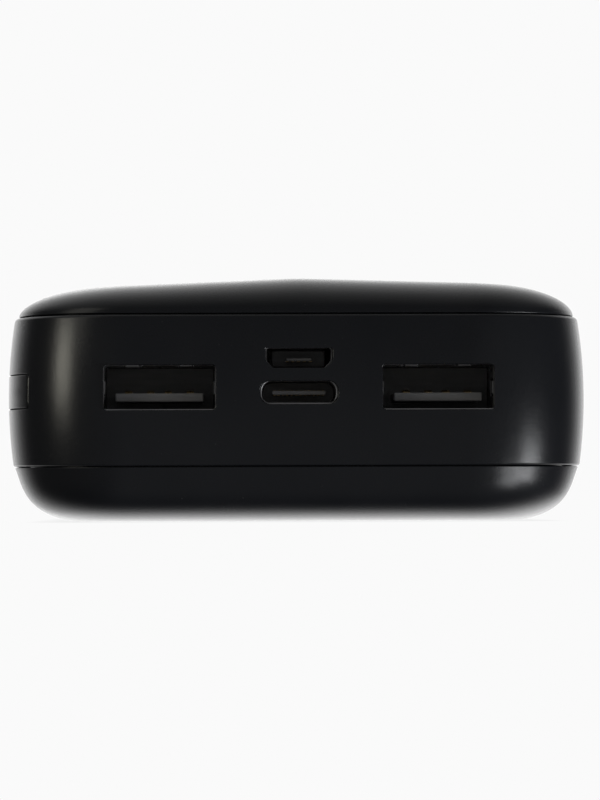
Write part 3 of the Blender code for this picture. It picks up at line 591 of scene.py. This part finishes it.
def make_light_guide(material):
    """A clear bar with four pins, whose rounded ends show beside the button."""
    low, high = box_mm("light_guide")
    bar_low = high.x - LIGHT_BAR_DEPTH
    half_y, half_z = (high.y - low.y) / 2, (high.z - low.z) / 2
    middle_y = (low.y + high.y) / 2
    edge = LIGHT_BAR_EDGE
    rings = []
    for grow, x in ((-edge, bar_low), (0.0, bar_low + edge), (0.0, high.x - edge), (-edge, high.x)):
        outline = rounded(half_y + grow, half_z + grow, 0.3, 8, 2, 4)
        rings.append([Vector((x, middle_y + u, BAND_MIDDLE + v)) for u, v in outline])
    guide = skin("light_bar", rings, material)
    tools = []
    for number, y in enumerate(LIGHT_YS):
        shape = [(0.02, low.x)]
        for step in range(5):
            angle = math.pi / 2 * step / 4
            radius = LIGHT_RADIUS - LIGHT_PIN_EDGE * (1 - math.sin(angle))
            shape.append((radius, low.x + LIGHT_PIN_SETBACK + LIGHT_PIN_EDGE * (1 - math.cos(angle))))
        shape.append((LIGHT_RADIUS, bar_low + 1.0))
        rings = cylinder_rings(shape, 28, lambda u, v, x: Vector((x, y + u, BAND_MIDDLE + v)))
        tools.append(("UNION", skin(f"light_pin_{number + 1}", rings)))
    apply_booleans(guide, tools)
    add_piece(guide, "case", "guide_clear", "light_guide")


# --- sockets
_, USB_A_X, USB_A_Z, SHELL_FRONT = socket_place("usb_a_shell_right")
USB_A_SHELL = (13.1, 13.0, 5.7)  # without the springs, which stand out of it in the CAD
USB_C_SHELL, _, USB_C_Z, _ = socket_place("usb_c_shell")
MICRO_SHELL, _, MICRO_Z, _ = socket_place("micro_usb_shell")


def make_collar(name, opening, radius, x, z, lip, material):
    """The mouth of a shell that lines its cut-out. lip is how high its lower lip stands, which shows."""
    width, height = opening[0] - 2 * COLLAR_GAP, opening[1] - 2 * COLLAR_GAP
    outer = rounded(width / 2, height / 2, radius, 12, 4, 8)
    inner = rounded(width / 2 - COLLAR_THIN, (height - lip - COLLAR_THIN) / 2, radius - lip / 2, 12, 4, 8)
    raised = z + (lip - COLLAR_THIN) / 2
    front = front_y(z) + COLLAR_SETBACK
    rear = SHELL_FRONT + COLLAR_REACH
    stations = [(outer, z, rear), (outer, z, front)]
    stations += [(inner, raised, front + lip * COLLAR_BEVEL), (inner, raised, rear)]
    rings = [front_ring(outline, x, y, middle) for outline, middle, y in stations]
    add_piece(skin(name, rings, material, closed=True), "case", "socket_steel")


def tube(name, outline_at, x, z, front, depth, steel, material):
    """A shell of sheet steel, open at both ends, with its front edge rounded inside and out."""
    edge = steel * 0.45
    rear = SHELL_FRONT + depth
    stations = [(0.0, rear), (0.0, front + edge), (-0.3 * edge, front + 0.3 * edge), (-edge, front)]
    stations += [(edge - steel, front), (0.3 * edge - steel, front + 0.3 * edge), (-steel, front + edge)]
    stations.append((-steel, rear))
    rings = [front_ring(outline_at(grow), x, y, z) for grow, y in stations]
    return skin(name, rings, material, closed=True)


def leaf_spring(name, root, inward, share):
    """A strip that leans in from the rear of its window, and turns out again where a plug would touch it.

    share is how much of the path's lift it has.
    """
    across = Vector((0, 1, 0)).cross(inward)
    path = [(0.45, 0.0), (0.0, 0.0), (-1.0, 0.14), (-2.0, 0.36), (-2.8, 0.58), (-3.3, 0.68), (-3.7, 0.66)]
    path += [(-4.1, 0.52), (-4.35, 0.38)]
    outline = rounded(SPRING_WIDTH / 2, SPRING_THICKNESS / 2, 0.04, 4, 1, 3)
    rings = []
    for along, lift in path:
        middle = root + Vector((0, along, 0)) + inward * lift * share
        narrow = 1.0 if along > -3.2 else 0.86
        rings.append([middle + across * u * narrow + inward * v for u, v in outline])
    return skin(name, rings)


def window_cutter(name, root, inward):
    across = Vector((0, 1, 0)).cross(inward)
    outline = rounded(SPRING_WIDTH / 2 + 0.25, 2.4, 0.3, 4, 4, 4)
    rings = []
    for lift in (-0.8, 0.6):
        rings.append([root + Vector((0, v - 2.4, 0)) + across * u + inward * lift for u, v in outline])
    return skin(name, rings)


def make_usb_a(side, word, steel, plastic, gold):
    x = side * USB_A_X
    width, depth, height = USB_A_SHELL
    outline_at = box_outline((width, height), 0.6)
    front = SHELL_FRONT + USB_A_SETBACK
    shell = tube(f"usb_a_steel_{word}", outline_at, x, USB_A_Z, front, depth, USB_A_STEEL, steel)
    tools = []
    wall = USB_A_STEEL / 2
    root_y = SHELL_FRONT + SPRING_ROOT
    springs = []
    for offset in (-SPRING_OFFSET, SPRING_OFFSET):
        root = Vector((x + offset, root_y, USB_A_Z + height / 2 - wall))
        springs.append((root, Vector((0, 0, -1)), SPRING_LIFTS["top"]))
        root = Vector((x + offset, root_y, USB_A_Z - height / 2 + wall))
        springs.append((root, Vector((0, 0, 1)), SPRING_LIFTS["bottom"]))
    for way in (-1, 1):
        root = Vector((x + way * (width / 2 - wall), root_y, USB_A_Z))
        springs.append((root, Vector((-way, 0, 0)), SPRING_LIFTS["side"]))
    for number, (root, inward, _) in enumerate(springs):
        tools.append(("DIFFERENCE", window_cutter(f"window_{word}_{number}", root, inward)))
    for number, (root, inward, share) in enumerate(springs):
        tools.append(("UNION", leaf_spring(f"leaf_{word}_{number}", root, inward, share)))
    for way in (-1, 1):
        tools.append(("UNION", shell_foot(f"foot_{word}_{way}", x, way)))
    apply_booleans(shell, tools)
    add_piece(shell, "case", "socket_steel", f"usb_a_shell_{word}")
    collar = f"usb_a_collar_{word}"
    make_collar(collar, USB_A_OPENING, USB_A_OPENING_CORNER, x, USB_A_Z, USB_A_COLLAR_LIP, steel)
    make_usb_a_tongue(x, word, plastic, gold)


def shell_foot(name, x, way):
    """A foot soldered to the board's upper face."""
    low = box_mm("main_board")[1].z + 0.05
    outline = rounded(1.1, 0.15, 0.06, 4, 1, 3)
    rings = []
    for grow, reach in ((0.0, -0.15), (0.0, 1.4), (-0.2, 1.6)):
        out = x + way * (USB_A_SHELL[0] / 2 + reach)
        rings.append([Vector((out, SHELL_FRONT + 9.0 + u * (1 + grow), low + 0.15 + v)) for u, v in outline])
    return skin(name, rings)


def tongue_piece(name, base, base_ys, tongue, tongue_front, chamfer, material):
    """An insulator: a base that fills the shell's rear, and the tongue that carries the contacts.

    base and tongue are (width, height, radius, x, z).
    """
    def ring(shape, y, shrink):
        width, height, radius, x, z = shape
        flat = rounded(width / 2 - shrink, height / 2 - shrink, max(radius - shrink, 0.03), 8, 2, 4)
        return front_ring(flat, x, y, z)

    front, rear = base_ys
    rings = [ring(base, rear, 0.15), ring(base, rear - 0.15, 0.0)]
    rings += [ring(base, front + 0.1, 0.0), ring(base, front, 0.1)]
    rings += [ring(tongue, front, 0.0), ring(tongue, tongue_front + chamfer, 0.0)]
    rings += [ring(tongue, tongue_front + 0.06, chamfer - 0.06), ring(tongue, tongue_front, chamfer)]
    return skin(name, rings, material)


def make_usb_a_tongue(x, word, plastic, gold):
    low, high = box_mm(f"usb_a_insulator_{word}")
    base = (high.x - low.x, high.z - low.z, 0.25, x, (low.z + high.z) / 2)
    width, height = USB_A_TONGUE
    tongue = (width, height, 0.12, x, USB_A_Z - USB_A_TONGUE_DROP)
    base_y = high.y - USB_A_BASE_DEPTH
    piece = tongue_piece(f"usb_a_tongue_{word}", base, (base_y, high.y), tongue, low.y, 0.1, plastic)
    add_piece(piece, "case", "socket_plastic", f"usb_a_insulator_{word}")
    top = USB_A_Z - USB_A_TONGUE_DROP + height / 2
    for number in range(1, 5):
        make_usb_a_contact(f"usb_a_contact_{word}_{number}", top, base_y - CONTACT_END_GAP, gold)


def make_usb_a_contact(node, top, rear, gold):
    """A flat spring on the tongue's upper face, bent up where it touches the plug."""
    low, high = box_mm(node)
    x = (low.x + high.x) / 2
    outline = rounded((high.x - low.x) / 2 - 0.1, CONTACT_HALF, 0.03, 4, 1, 3)
    path = [(low.y, 0.0), (low.y + 0.5, 0.0), (low.y + 1.1, 0.12), (low.y + 1.8, 0.28), (low.y + 2.3, 0.30)]
    path += [(low.y + 2.9, 0.24), (low.y + 5.0, 0.02), (rear, 0.0)]
    level = top + CONTACT_HALF * 0.4
    rings = [front_ring(outline, x, y, level + lift) for y, lift in path]
    add_piece(skin(f"{node}_spring", rings, gold), "case", "contact_gold", node)


def make_usb_c(steel, plastic, gold):
    width, depth, height = USB_C_SHELL
    outline_at = box_outline((width, height), height * 0.45, 8)
    front = SHELL_FRONT + USB_C_SETBACK
    shell = tube("usb_c_steel", outline_at, 0, USB_C_Z, front, depth, USB_C_STEEL, steel)
    add_piece(shell, "case", "socket_steel", "usb_c_shell")
    make_collar("usb_c_collar", USB_C_OPENING, USB_C_OPENING_CORNER, 0, USB_C_Z, USB_C_COLLAR_LIP, steel)
    low, high = box_mm("usb_c_insulator")
    base = (high.x - low.x, high.z - low.z, 1.1, 0, USB_C_Z)
    width, height = USB_C_TONGUE
    tongue = (width, height, 0.1, 0, USB_C_Z)
    base_y = high.y - USB_C_BASE_DEPTH
    piece = tongue_piece("usb_c_tongue", base, (base_y, high.y), tongue, low.y, 0.08, plastic)
    add_piece(piece, "case", "socket_plastic", "usb_c_insulator")
    xs = [USB_C_PITCH * (number - 5.5) for number in range(12)]
    rows = [(USB_C_Z + height / 2, 1), (USB_C_Z - height / 2, -1)]
    ends = (low.y + 0.5, base_y - CONTACT_END_GAP)
    make_strips("usb_c_contacts", xs, USB_C_CONTACT_WIDTH, ends, rows, gold)


def make_micro(steel, plastic, gold):
    width, depth, height = MICRO_SHELL
    outline_at = micro_outline((width, height), MICRO_CHAMFER)
    front = SHELL_FRONT + MICRO_SETBACK
    shell = tube("micro_usb_steel", outline_at, 0, MICRO_Z, front, depth, MICRO_STEEL, steel)
    add_piece(shell, "case", "socket_steel", "micro_usb_shell")
    low, high = box_mm("micro_usb_insulator")
    base = (high.x - low.x - 0.9, high.z - low.z, 0.3, 0, MICRO_Z)
    width, height = MICRO_TONGUE
    tongue = (width, height, 0.08, 0, MICRO_Z - MICRO_TONGUE_DROP)
    base_y = high.y - MICRO_BASE_DEPTH
    piece = tongue_piece("micro_usb_tongue", base, (base_y, high.y), tongue, low.y, 0.08, plastic)
    add_piece(piece, "case", "socket_plastic", "micro_usb_insulator")
    xs = [MICRO_PITCH * (number - 2) for number in range(5)]
    rows = [(MICRO_Z - MICRO_TONGUE_DROP - height / 2, -1)]
    ends = (low.y + 0.4, base_y - CONTACT_END_GAP)
    make_strips("micro_usb_contacts", xs, MICRO_CONTACT_WIDTH, ends, rows, gold)


def make_strips(name, xs, width, ends, rows, material):
    """Flat contacts, part sunk into a tongue's faces. ends are their front and rear, rows (z, way out)."""
    front, rear = ends
    thick = STRIP_THICKNESS
    for row, (z, way) in enumerate(rows):
        bm = bmesh.new()
        for x in xs:
            strip = bmesh.ops.create_cube(bm, size=1.0)["verts"]
            bmesh.ops.scale(bm, vec=Vector((width, rear - front, thick)), verts=strip)
            bmesh.ops.translate(bm, vec=Vector((x, (front + rear) / 2, z + way * thick * 0.3)), verts=strip)
            edges = list({edge for vert in strip for edge in vert.link_edges})
            bmesh.ops.bevel(bm, geom=edges, offset=0.012, segments=1, affect="EDGES")
        strips = finish_mesh(f"{name}_{row + 1}", bm, material)
        add_piece(strips, "case", "contact_gold")


def add_piece(obj, body, slot, *nodes):
    """Hangs a finished piece on its body and hides the CAD nodes that it stands for. slot is not used."""
    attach(obj, body)
    if nodes:
        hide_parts(*nodes)


# --- materials
class Shader:
    """A node material in the making. Links and constant sockets are set by name."""

    def __init__(self, name, roughness=0.5, metallic=0.0, **sockets):
        self.material = bpy.data.materials.new(name)
        self.material.use_nodes = True
        self.nodes = self.material.node_tree.nodes
        self.links = self.material.node_tree.links
        self.shader = self.nodes["Principled BSDF"]
        self.shader.inputs["Roughness"].default_value = roughness
        self.shader.inputs["Metallic"].default_value = metallic
        for socket, value in sockets.items():
            self.shader.inputs[socket.replace("_", " ")].default_value = value
        self.place = self.nodes.new("ShaderNodeTexCoord").outputs["Object"]

    def stretched(self, scale):
        """The object's coordinates, scaled along each axis."""
        mapping = self.nodes.new("ShaderNodeMapping")
        mapping.inputs["Scale"].default_value = scale
        self.links.new(self.place, mapping.inputs["Vector"])
        return mapping.outputs["Vector"]

    def noise(self, scale, detail=3.0, roughness=0.55, place=None):
        node = self.nodes.new("ShaderNodeTexNoise")
        node.inputs["Scale"].default_value = scale
        node.inputs["Detail"].default_value = detail
        node.inputs["Roughness"].default_value = roughness
        self.links.new(place or self.place, node.inputs["Vector"])
        return node.outputs["Fac"]

    def voronoi(self, scale, feature="F1", place=None):
        node = self.nodes.new("ShaderNodeTexVoronoi")
        node.feature = feature
        node.inputs["Scale"].default_value = scale
        self.links.new(place or self.place, node.inputs["Vector"])
        return node.outputs["Distance"]

    def spread(self, value, low, high, to_low=0.0, to_high=1.0):
        """Maps a stretch of a value onto another, and clamps it."""
        node = self.nodes.new("ShaderNodeMapRange")
        for socket, number in zip(("From Min", "From Max", "To Min", "To Max"), (low, high, to_low, to_high)):
            node.inputs[socket].default_value = number
        self.links.new(value, node.inputs["Value"])
        return node.outputs["Result"]

    def blend(self, share, first, second):
        """A colour between two, each a colour or a socket."""
        node = self.nodes.new("ShaderNodeMix")
        node.data_type = "RGBA"
        self.links.new(share, node.inputs["Factor"])
        for socket, colour in ((node.inputs[6], first), (node.inputs[7], second)):
            if isinstance(colour, tuple):
                socket.default_value = (*colour, 1.0)
            else:
                self.links.new(colour, socket)
        return node.outputs[2]

    def add(self, first, second, share=1.0):
        node = self.nodes.new("ShaderNodeMath")
        node.operation = "MULTIPLY_ADD"
        self.links.new(second, node.inputs[0])
        node.inputs[1].default_value = share
        self.links.new(first, node.inputs[2])
        return node.outputs["Value"]

    def colour(self, socket):
        self.links.new(socket, self.shader.inputs["Base Color"])

    def rough(self, socket):
        self.links.new(socket, self.shader.inputs["Roughness"])

    def bump(self, height, depth):
        """Raises the surface by up to depth millimetres where height is 1."""
        node = self.nodes.new("ShaderNodeBump")
        node.inputs["Distance"].default_value = depth * MM
        self.links.new(height, node.inputs["Height"])
        self.links.new(node.outputs["Normal"], self.shader.inputs["Normal"])


def case_plastic(name, dark, light, rough_low, rough_high, grain=0.012):
    """Black moulded plastic with a spark-eroded grain, a faint unevenness in its gloss and a little dust."""
    s = Shader(name, IOR=1.5)
    cloud = s.noise(90, 4)
    fine = s.noise(5200, 2, 0.6)
    dust = s.spread(s.noise(2600, 1, 0.4), 0.80, 0.87)
    body = s.blend(s.spread(cloud, 0.35, 0.65), dark, light)
    s.colour(s.blend(s.spread(dust, 0.0, 1.0, 0.0, 0.25), body, (0.16, 0.16, 0.16)))
    s.rough(s.add(s.spread(cloud, 0.3, 0.7, rough_low, rough_high), s.spread(fine, 0.3, 0.7, -0.03, 0.03)))
    s.bump(s.add(fine, s.noise(1500, 2), 0.5), grain)
    return s.material


def socket_plastic(name):
    """The sockets' glass-filled nylon: darker flow lines and a dry surface."""
    s = Shader(name, IOR=1.5)
    grain = s.noise(3200, 3)
    flow = s.noise(700, 3, place=s.stretched((0.3, 1.0, 2.5)))
    s.colour(s.blend(s.spread(flow, 0.35, 0.7), (0.16, 0.16, 0.163), (0.20, 0.20, 0.203)))
    s.rough(s.spread(grain, 0.3, 0.7, 0.42, 0.58))
    s.bump(grain, 0.004)
    return s.material


def brushed_metal(name, dark, light, rough, stretch, scale=900.0, scratch=0.0012):
    """Sheet metal with the fine lines that its rolling left along one direction."""
    s = Shader(name, metallic=1.0)
    lines = s.noise(scale, 4, 0.6, s.stretched(stretch))
    stain = s.noise(260, 3)
    s.colour(s.blend(s.spread(stain, 0.35, 0.7), dark, light))
    gloss = s.spread(lines, 0.3, 0.7, rough - 0.06, rough + 0.06)
    s.rough(s.add(gloss, s.spread(stain, 0.4, 0.7, 0.0, 0.05)))
    s.bump(lines, scratch)
    return s.material


def cell_foil(name):
    """The pouch cells' aluminium laminate, with its soft creases."""
    s = Shader(name, metallic=1.0)
    crease = s.voronoi(70, "DISTANCE_TO_EDGE", place=s.stretched((1.0, 0.6, 1.0)))
    soft = s.noise(45, 4)
    s.colour(s.blend(s.spread(soft, 0.3, 0.7), (0.52, 0.53, 0.55), (0.68, 0.69, 0.71)))
    s.rough(s.spread(soft, 0.3, 0.7, 0.28, 0.42))
    s.bump(s.add(soft, s.spread(crease, 0.0, 0.15), 0.3), 0.25)
    return s.material


def board_green(name):
    """Solder mask over copper tracks, with the weave of the glass cloth under it."""
    s = Shader(name, IOR=1.5)
    tracks = s.spread(s.voronoi(420, "DISTANCE_TO_EDGE", place=s.stretched((1.0, 0.35, 1.0))), 0.03, 0.06)
    weave = s.noise(1800, 2, place=s.stretched((1.0, 1.0, 0.2)))
    s.colour(s.blend(tracks, (0.03, 0.15, 0.06), (0.012, 0.07, 0.03)))
    s.rough(s.spread(weave, 0.3, 0.7, 0.25, 0.38))
    s.bump(s.add(weave, tracks, -2.0), 0.01)
    return s.material


def foam(name):
    """Open-cell foam."""
    s = Shader(name, 0.9)
    cells = s.voronoi(2200)
    s.colour(s.blend(s.spread(cells, 0.1, 0.6), (0.05, 0.05, 0.055), (0.12, 0.12, 0.125)))
    s.rough(s.spread(cells, 0.1, 0.6, 0.82, 0.95))
    s.bump(cells, 0.15)
    return s.material


def shaded(colour, share):
    return tuple(part * share for part in colour)


def two_tone(name, colour, rough, scale, bump_depth=0.004, **sockets):
    """A material whose colour and gloss vary a little with one noise."""
    s = Shader(name, **sockets)
    patch = s.noise(scale)
    grain = s.noise(scale * 9, 2)
    s.colour(s.blend(s.spread(patch, 0.35, 0.65), shaded(colour, 0.82), shaded(colour, 1.12)))
    s.rough(s.spread(patch, 0.3, 0.7, rough - 0.06, rough + 0.06))
    s.bump(s.add(patch, grain, 0.4), bump_depth)
    return s.material


BLACK = ((0.011, 0.012, 0.015), (0.013, 0.014, 0.017))
BUTTON_BLACK = ((0.012, 0.013, 0.015), (0.014, 0.015, 0.017))
BUTTON_GRAIN = 0.003
STEEL = ((0.42, 0.42, 0.43), (0.60, 0.60, 0.61))
GOLD = ((0.60, 0.42, 0.17), (0.72, 0.53, 0.24))
NICKEL = ((0.50, 0.48, 0.44), (0.62, 0.60, 0.55))
ALUMINIUM = ((0.58, 0.58, 0.60), (0.72, 0.72, 0.74))
SCREW_STEEL = ((0.20, 0.20, 0.21), (0.30, 0.30, 0.31))
ALONG_X, ALONG_Y, ALONG_Z = (0.1, 1.0, 1.0), (1.0, 0.1, 1.0), (1.0, 1.0, 0.1)  # the way brushed lines run
SCREW_LINES = (1.0, 1.0, 0.2)
MATERIALS = {}


def add_material(slot, make, *values, **more):
    MATERIALS[slot] = make(slot, *values, **more)


add_material("band_plastic", case_plastic, *BLACK, 0.22, 0.25)
add_material("cover_plastic", case_plastic, *BLACK, 0.22, 0.25)
add_material("button_plastic", case_plastic, *BUTTON_BLACK, 0.20, 0.24, BUTTON_GRAIN)
add_material("socket_plastic", socket_plastic)
add_material("socket_steel", brushed_metal, *STEEL, 0.3, ALONG_Y)
add_material("contact_gold", brushed_metal, *GOLD, 0.25, ALONG_Y)
add_material("board_green", board_green)
add_material("cell_foil", cell_foil)
add_material("tape_amber", two_tone, (0.42, 0.17, 0.03), 0.3, 140, bump_depth=0.02)
add_material("foam_grey", foam)
add_material("strap_nickel", brushed_metal, *NICKEL, 0.32, ALONG_X)
add_material("lead_red", two_tone, (0.45, 0.012, 0.010), 0.42, 500)
add_material("lead_black", two_tone, (0.012, 0.012, 0.013), 0.42, 500)
add_material("guide_clear", two_tone, (0.62, 0.65, 0.68), 0.28, 300, Transmission_Weight=0.55, IOR=1.49)
add_material("led_white", two_tone, (0.75, 0.75, 0.68), 0.35, 900)
add_material("chip_epoxy", two_tone, (0.016, 0.016, 0.018), 0.6, 1500, bump_depth=0.006)
add_material("ferrite", two_tone, (0.05, 0.05, 0.054), 0.7, 1800, bump_depth=0.02)
add_material("can_aluminium", brushed_metal, *ALUMINIUM, 0.28, ALONG_Z)
add_material("screw_steel", brushed_metal, *SCREW_STEEL, 0.3, SCREW_LINES)


def dress_cad_nodes():
    """Every CAD node takes the material of its slot in the record."""
    for subpart in frame["record"]["subparts"]:
        obj = frame["nodes"][subpart["node"]]
        for material_slot in obj.material_slots:
            material_slot.material = MATERIALS[subpart["material_slot"]]


# --- studio
TARGET = Vector((0.086, -69.0, 13.645)) * MM  # what the middle of the picture shows
CAMERA_DISTANCE = 0.5
CAMERA_AZIMUTH = math.radians(-1.3)
CAMERA_ELEVATION = math.radians(-1.3)
CAMERA_ROLL = math.radians(-0.19)
CAMERA_LENS = 199.87
BACKDROP = 0.956
SOFTBOX_AIM = Vector((0, -60, 14)) * MM
WARM, PALE_WARM, COOL = (1.0, 0.97, 0.84), (1.0, 0.97, 0.88), (0.96, 0.98, 1.0)
FLOOR_HALF = 3000.0
FLOOR_LEVEL = -0.0001  # in metres, a little below the case
FLOOR_SHADE_REACH = 0.0025  # in metres


def aimed(direction, roll=0.0):
    return direction.to_track_quat("-Z", "Y").to_matrix() @ Matrix.Rotation(roll, 3, "Z")


def from_front(azimuth, elevation):
    """A direction away from the sockets' end: 0, 0 is -Y, and a positive azimuth is towards +X."""
    flat = math.cos(elevation)
    return Vector((math.sin(azimuth) * flat, -math.cos(azimuth) * flat, math.sin(elevation)))


def add_camera():
    data = bpy.data.cameras.new("camera")
    data.lens = CAMERA_LENS
    data.sensor_width = 36.0
    data.clip_start = 0.01
    camera = add_object("camera", data)
    away = from_front(CAMERA_AZIMUTH, CAMERA_ELEVATION)
    camera.location = TARGET + away * CAMERA_DISTANCE
    camera.rotation_euler = aimed(-away, CAMERA_ROLL).to_euler()
    bpy.context.scene.camera = camera
    bpy.context.scene.view_settings.view_transform = "Standard"


def add_softbox(name, azimuths, elevations, radiance, colour, distance=1.5):
    """A panel that spans these angles, in degrees, as the sockets' end sees it."""
    azimuth, elevation = (math.radians(sum(pair) / 2) for pair in (azimuths, elevations))
    halves = [math.radians((pair[1] - pair[0]) / 2) for pair in (azimuths, elevations)]
    width, height = (2 * distance * math.tan(half) for half in halves)
    data = bpy.data.lights.new(name, "AREA")
    data.shape = "RECTANGLE"
    data.size, data.size_y = width, height
    data.energy = radiance * math.pi * width * height
    data.color = colour
    light = add_object(name, data)
    away = from_front(azimuth, elevation)
    light.location = SOFTBOX_AIM + away * distance
    light.rotation_euler = aimed(-away).to_euler()
    light.visible_camera = False


# The studio's brightness over a direction's Y, from -1 in front of the sockets to 1 behind the case, at the
# sides, above and below. The two rows over its X are what the latter two are multiplied by.
SIDE_RAMP = (
    (-1.0, 0.125), (0.0, 0.05), (0.40, 0.03), (0.515, 0.10), (0.629, 0.34), (0.755, 0.87), (0.875, 1.36),
    (1.0, 1.36),
)
UP_RAMP = (
    (-0.85, 0.07), (-0.5, 0.08), (0.0, 0.21), (0.2, 0.26), (0.4, 0.32), (0.6, 0.44), (0.75, 0.55),
    (0.85, 0.70), (0.92, 1.0), (0.96, 1.5), (1.0, 1.9),
)
DOWN_RAMP = (
    (-0.9, 0.12), (-0.5, 0.11), (0.0, 0.02), (0.15, 0.05), (0.3, 0.16), (0.4, 0.36), (0.49, 0.78),
    (0.61, 1.26), (0.725, 1.86), (0.87, 2.0), (1.0, 1.85),
)
UP_ACROSS = ((-0.35, 1.05), (-0.2, 1.02), (-0.08, 1.16), (0.0, 1.12), (0.08, 0.96), (0.2, 0.76), (0.36, 0.72))
DOWN_ACROSS = ((-0.6, 0.44), (-0.5, 0.5), (-0.3, 0.62), (-0.15, 1.02), (0.2, 1.02), (0.5, 1.3))
RAMP_TOP = 2.5


def add_world():
    """A bright backdrop behind, which falls off to a dark studio in front. The camera sees it plain."""
    world = bpy.data.worlds.new("studio")
    world.use_nodes = True
    bpy.context.scene.world = world
    nodes, links = world.node_tree.nodes, world.node_tree.links
    nodes.clear()
    direction = nodes.new("ShaderNodeTexCoord").outputs["Generated"]
    apart = nodes.new("ShaderNodeSeparateXYZ")
    links.new(direction, apart.inputs[0])
    upright = nodes.new("ShaderNodeCombineXYZ")
    links.new(apart.outputs["X"], upright.inputs["X"])
    links.new(apart.outputs["Z"], upright.inputs["Z"])
    unit = nodes.new("ShaderNodeVectorMath")
    unit.operation = "NORMALIZE"
    links.new(upright.outputs[0], unit.inputs[0])
    up = nodes.new("ShaderNodeSeparateXYZ")
    links.new(unit.outputs[0], up.inputs[0])

    def ramp(axis, stops, top=RAMP_TOP):
        along = nodes.new("ShaderNodeMapRange")
        along.inputs["From Min"].default_value = -1.0
        links.new(apart.outputs[axis], along.inputs["Value"])
        node = nodes.new("ShaderNodeValToRGB")
        elements = node.color_ramp.elements
        while len(elements) < len(stops):
            elements.new(0.5)
        for element, (place, value) in zip(elements, stops):
            element.position = (place + 1) / 2
            element.color = (*(value / top,) * 3, 1.0)
        links.new(along.outputs["Result"], node.inputs["Fac"])
        return node.outputs["Color"]

    def share(low, high):
        node = nodes.new("ShaderNodeMapRange")
        node.inputs["From Min"].default_value = low
        node.inputs["From Max"].default_value = high
        links.new(up.outputs["Z"], node.inputs["Value"])
        return node.outputs["Result"]

    def times(first, second):
        node = nodes.new("ShaderNodeVectorMath")
        node.operation = "MULTIPLY"
        links.new(first, node.inputs[0])
        links.new(second, node.inputs[1])
        return node.outputs[0]

    def mix(factor, first, second):
        node = nodes.new("ShaderNodeMix")
        node.data_type = "RGBA"
        links.new(factor, node.inputs["Factor"])
        links.new(first, node.inputs[6])
        links.new(second, node.inputs[7])
        return node.outputs[2]

    above = times(ramp("Y", UP_RAMP), ramp("X", UP_ACROSS, 1.0))
    below = times(ramp("Y", DOWN_RAMP), ramp("X", DOWN_ACROSS, 1.0))
    sky = mix(share(0.5, 0.9), ramp("Y", SIDE_RAMP), above)
    sky = mix(share(-0.5, -0.9), sky, below)
    lit = nodes.new("ShaderNodeBackground")
    lit.inputs["Strength"].default_value = RAMP_TOP
    links.new(sky, lit.inputs["Color"])
    plain = nodes.new("ShaderNodeBackground")
    plain.inputs["Color"].default_value = (BACKDROP, BACKDROP, BACKDROP, 1.0)
    seen = nodes.new("ShaderNodeMixShader")
    links.new(nodes.new("ShaderNodeLightPath").outputs["Is Camera Ray"], seen.inputs["Fac"])
    links.new(lit.outputs[0], seen.inputs[1])
    links.new(plain.outputs[0], seen.inputs[2])
    links.new(seen.outputs[0], nodes.new("ShaderNodeOutputWorld").inputs["Surface"])


def add_floor():
    """A plain pale floor that glows evenly, with a painted contact shadow: it is darker where the case nearly
    touches it.
    """
    bm = bmesh.new()
    half = FLOOR_HALF
    corners = ((-half, -half), (half, -half), (half, half), (-half, half))
    bm.faces.new([bm.verts.new((x, y, 0.0)) for x, y in corners])
    material = bpy.data.materials.new("floor_white")
    material.use_nodes = True
    nodes, links = material.node_tree.nodes, material.node_tree.links
    nodes.clear()
    # Painted contact shadow: ambient occlusion dims the floor's glow to 0.85 where the case comes within
    # FLOOR_SHADE_REACH; no real shadow falls on this glowing floor.
    painted_contact_shadow = nodes.new("ShaderNodeAmbientOcclusion")
    painted_contact_shadow.inputs["Distance"].default_value = FLOOR_SHADE_REACH
    painted_contact_shadow.samples = 8
    tone = nodes.new("ShaderNodeMapRange")
    tone.inputs["To Min"].default_value = 0.85
    tone.inputs["To Max"].default_value = BACKDROP
    links.new(painted_contact_shadow.outputs["AO"], tone.inputs["Value"])
    glow = nodes.new("ShaderNodeEmission")
    links.new(tone.outputs["Result"], glow.inputs["Color"])
    links.new(glow.outputs[0], nodes.new("ShaderNodeOutputMaterial").inputs["Surface"])
    floor = finish_mesh("floor", bm, material)
    floor.location.z = FLOOR_LEVEL
    floor.visible_diffuse = False
    floor.visible_glossy = False
    floor.visible_transmission = False
    floor.visible_shadow = False


dress_cad_nodes()
make_band(MATERIALS["band_plastic"])
make_top_cover(MATERIALS["cover_plastic"])
make_bottom_cover(MATERIALS["cover_plastic"])
make_button(MATERIALS["button_plastic"])
make_light_guide(MATERIALS["guide_clear"])
socket_materials = [MATERIALS[slot] for slot in ("socket_steel", "socket_plastic", "contact_gold")]
for socket_side, socket_word in ((-1, "left"), (1, "right")):
    make_usb_a(socket_side, socket_word, *socket_materials)
make_usb_c(*socket_materials)
make_micro(*socket_materials)
add_camera()
add_softbox("softbox_left", (-74, -59.5), (0.5, 15.5), 4.8, WARM)
add_softbox("softbox_left_fill", (-74, -45), (12, 56), 0.55, PALE_WARM)
add_softbox("softbox_right", (59, 77), (-30, -10.5), 10.0, COOL)
add_softbox("softbox_right_fill", (44, 62), (-42, -18), 3.6, COOL)
add_world()
add_floor()
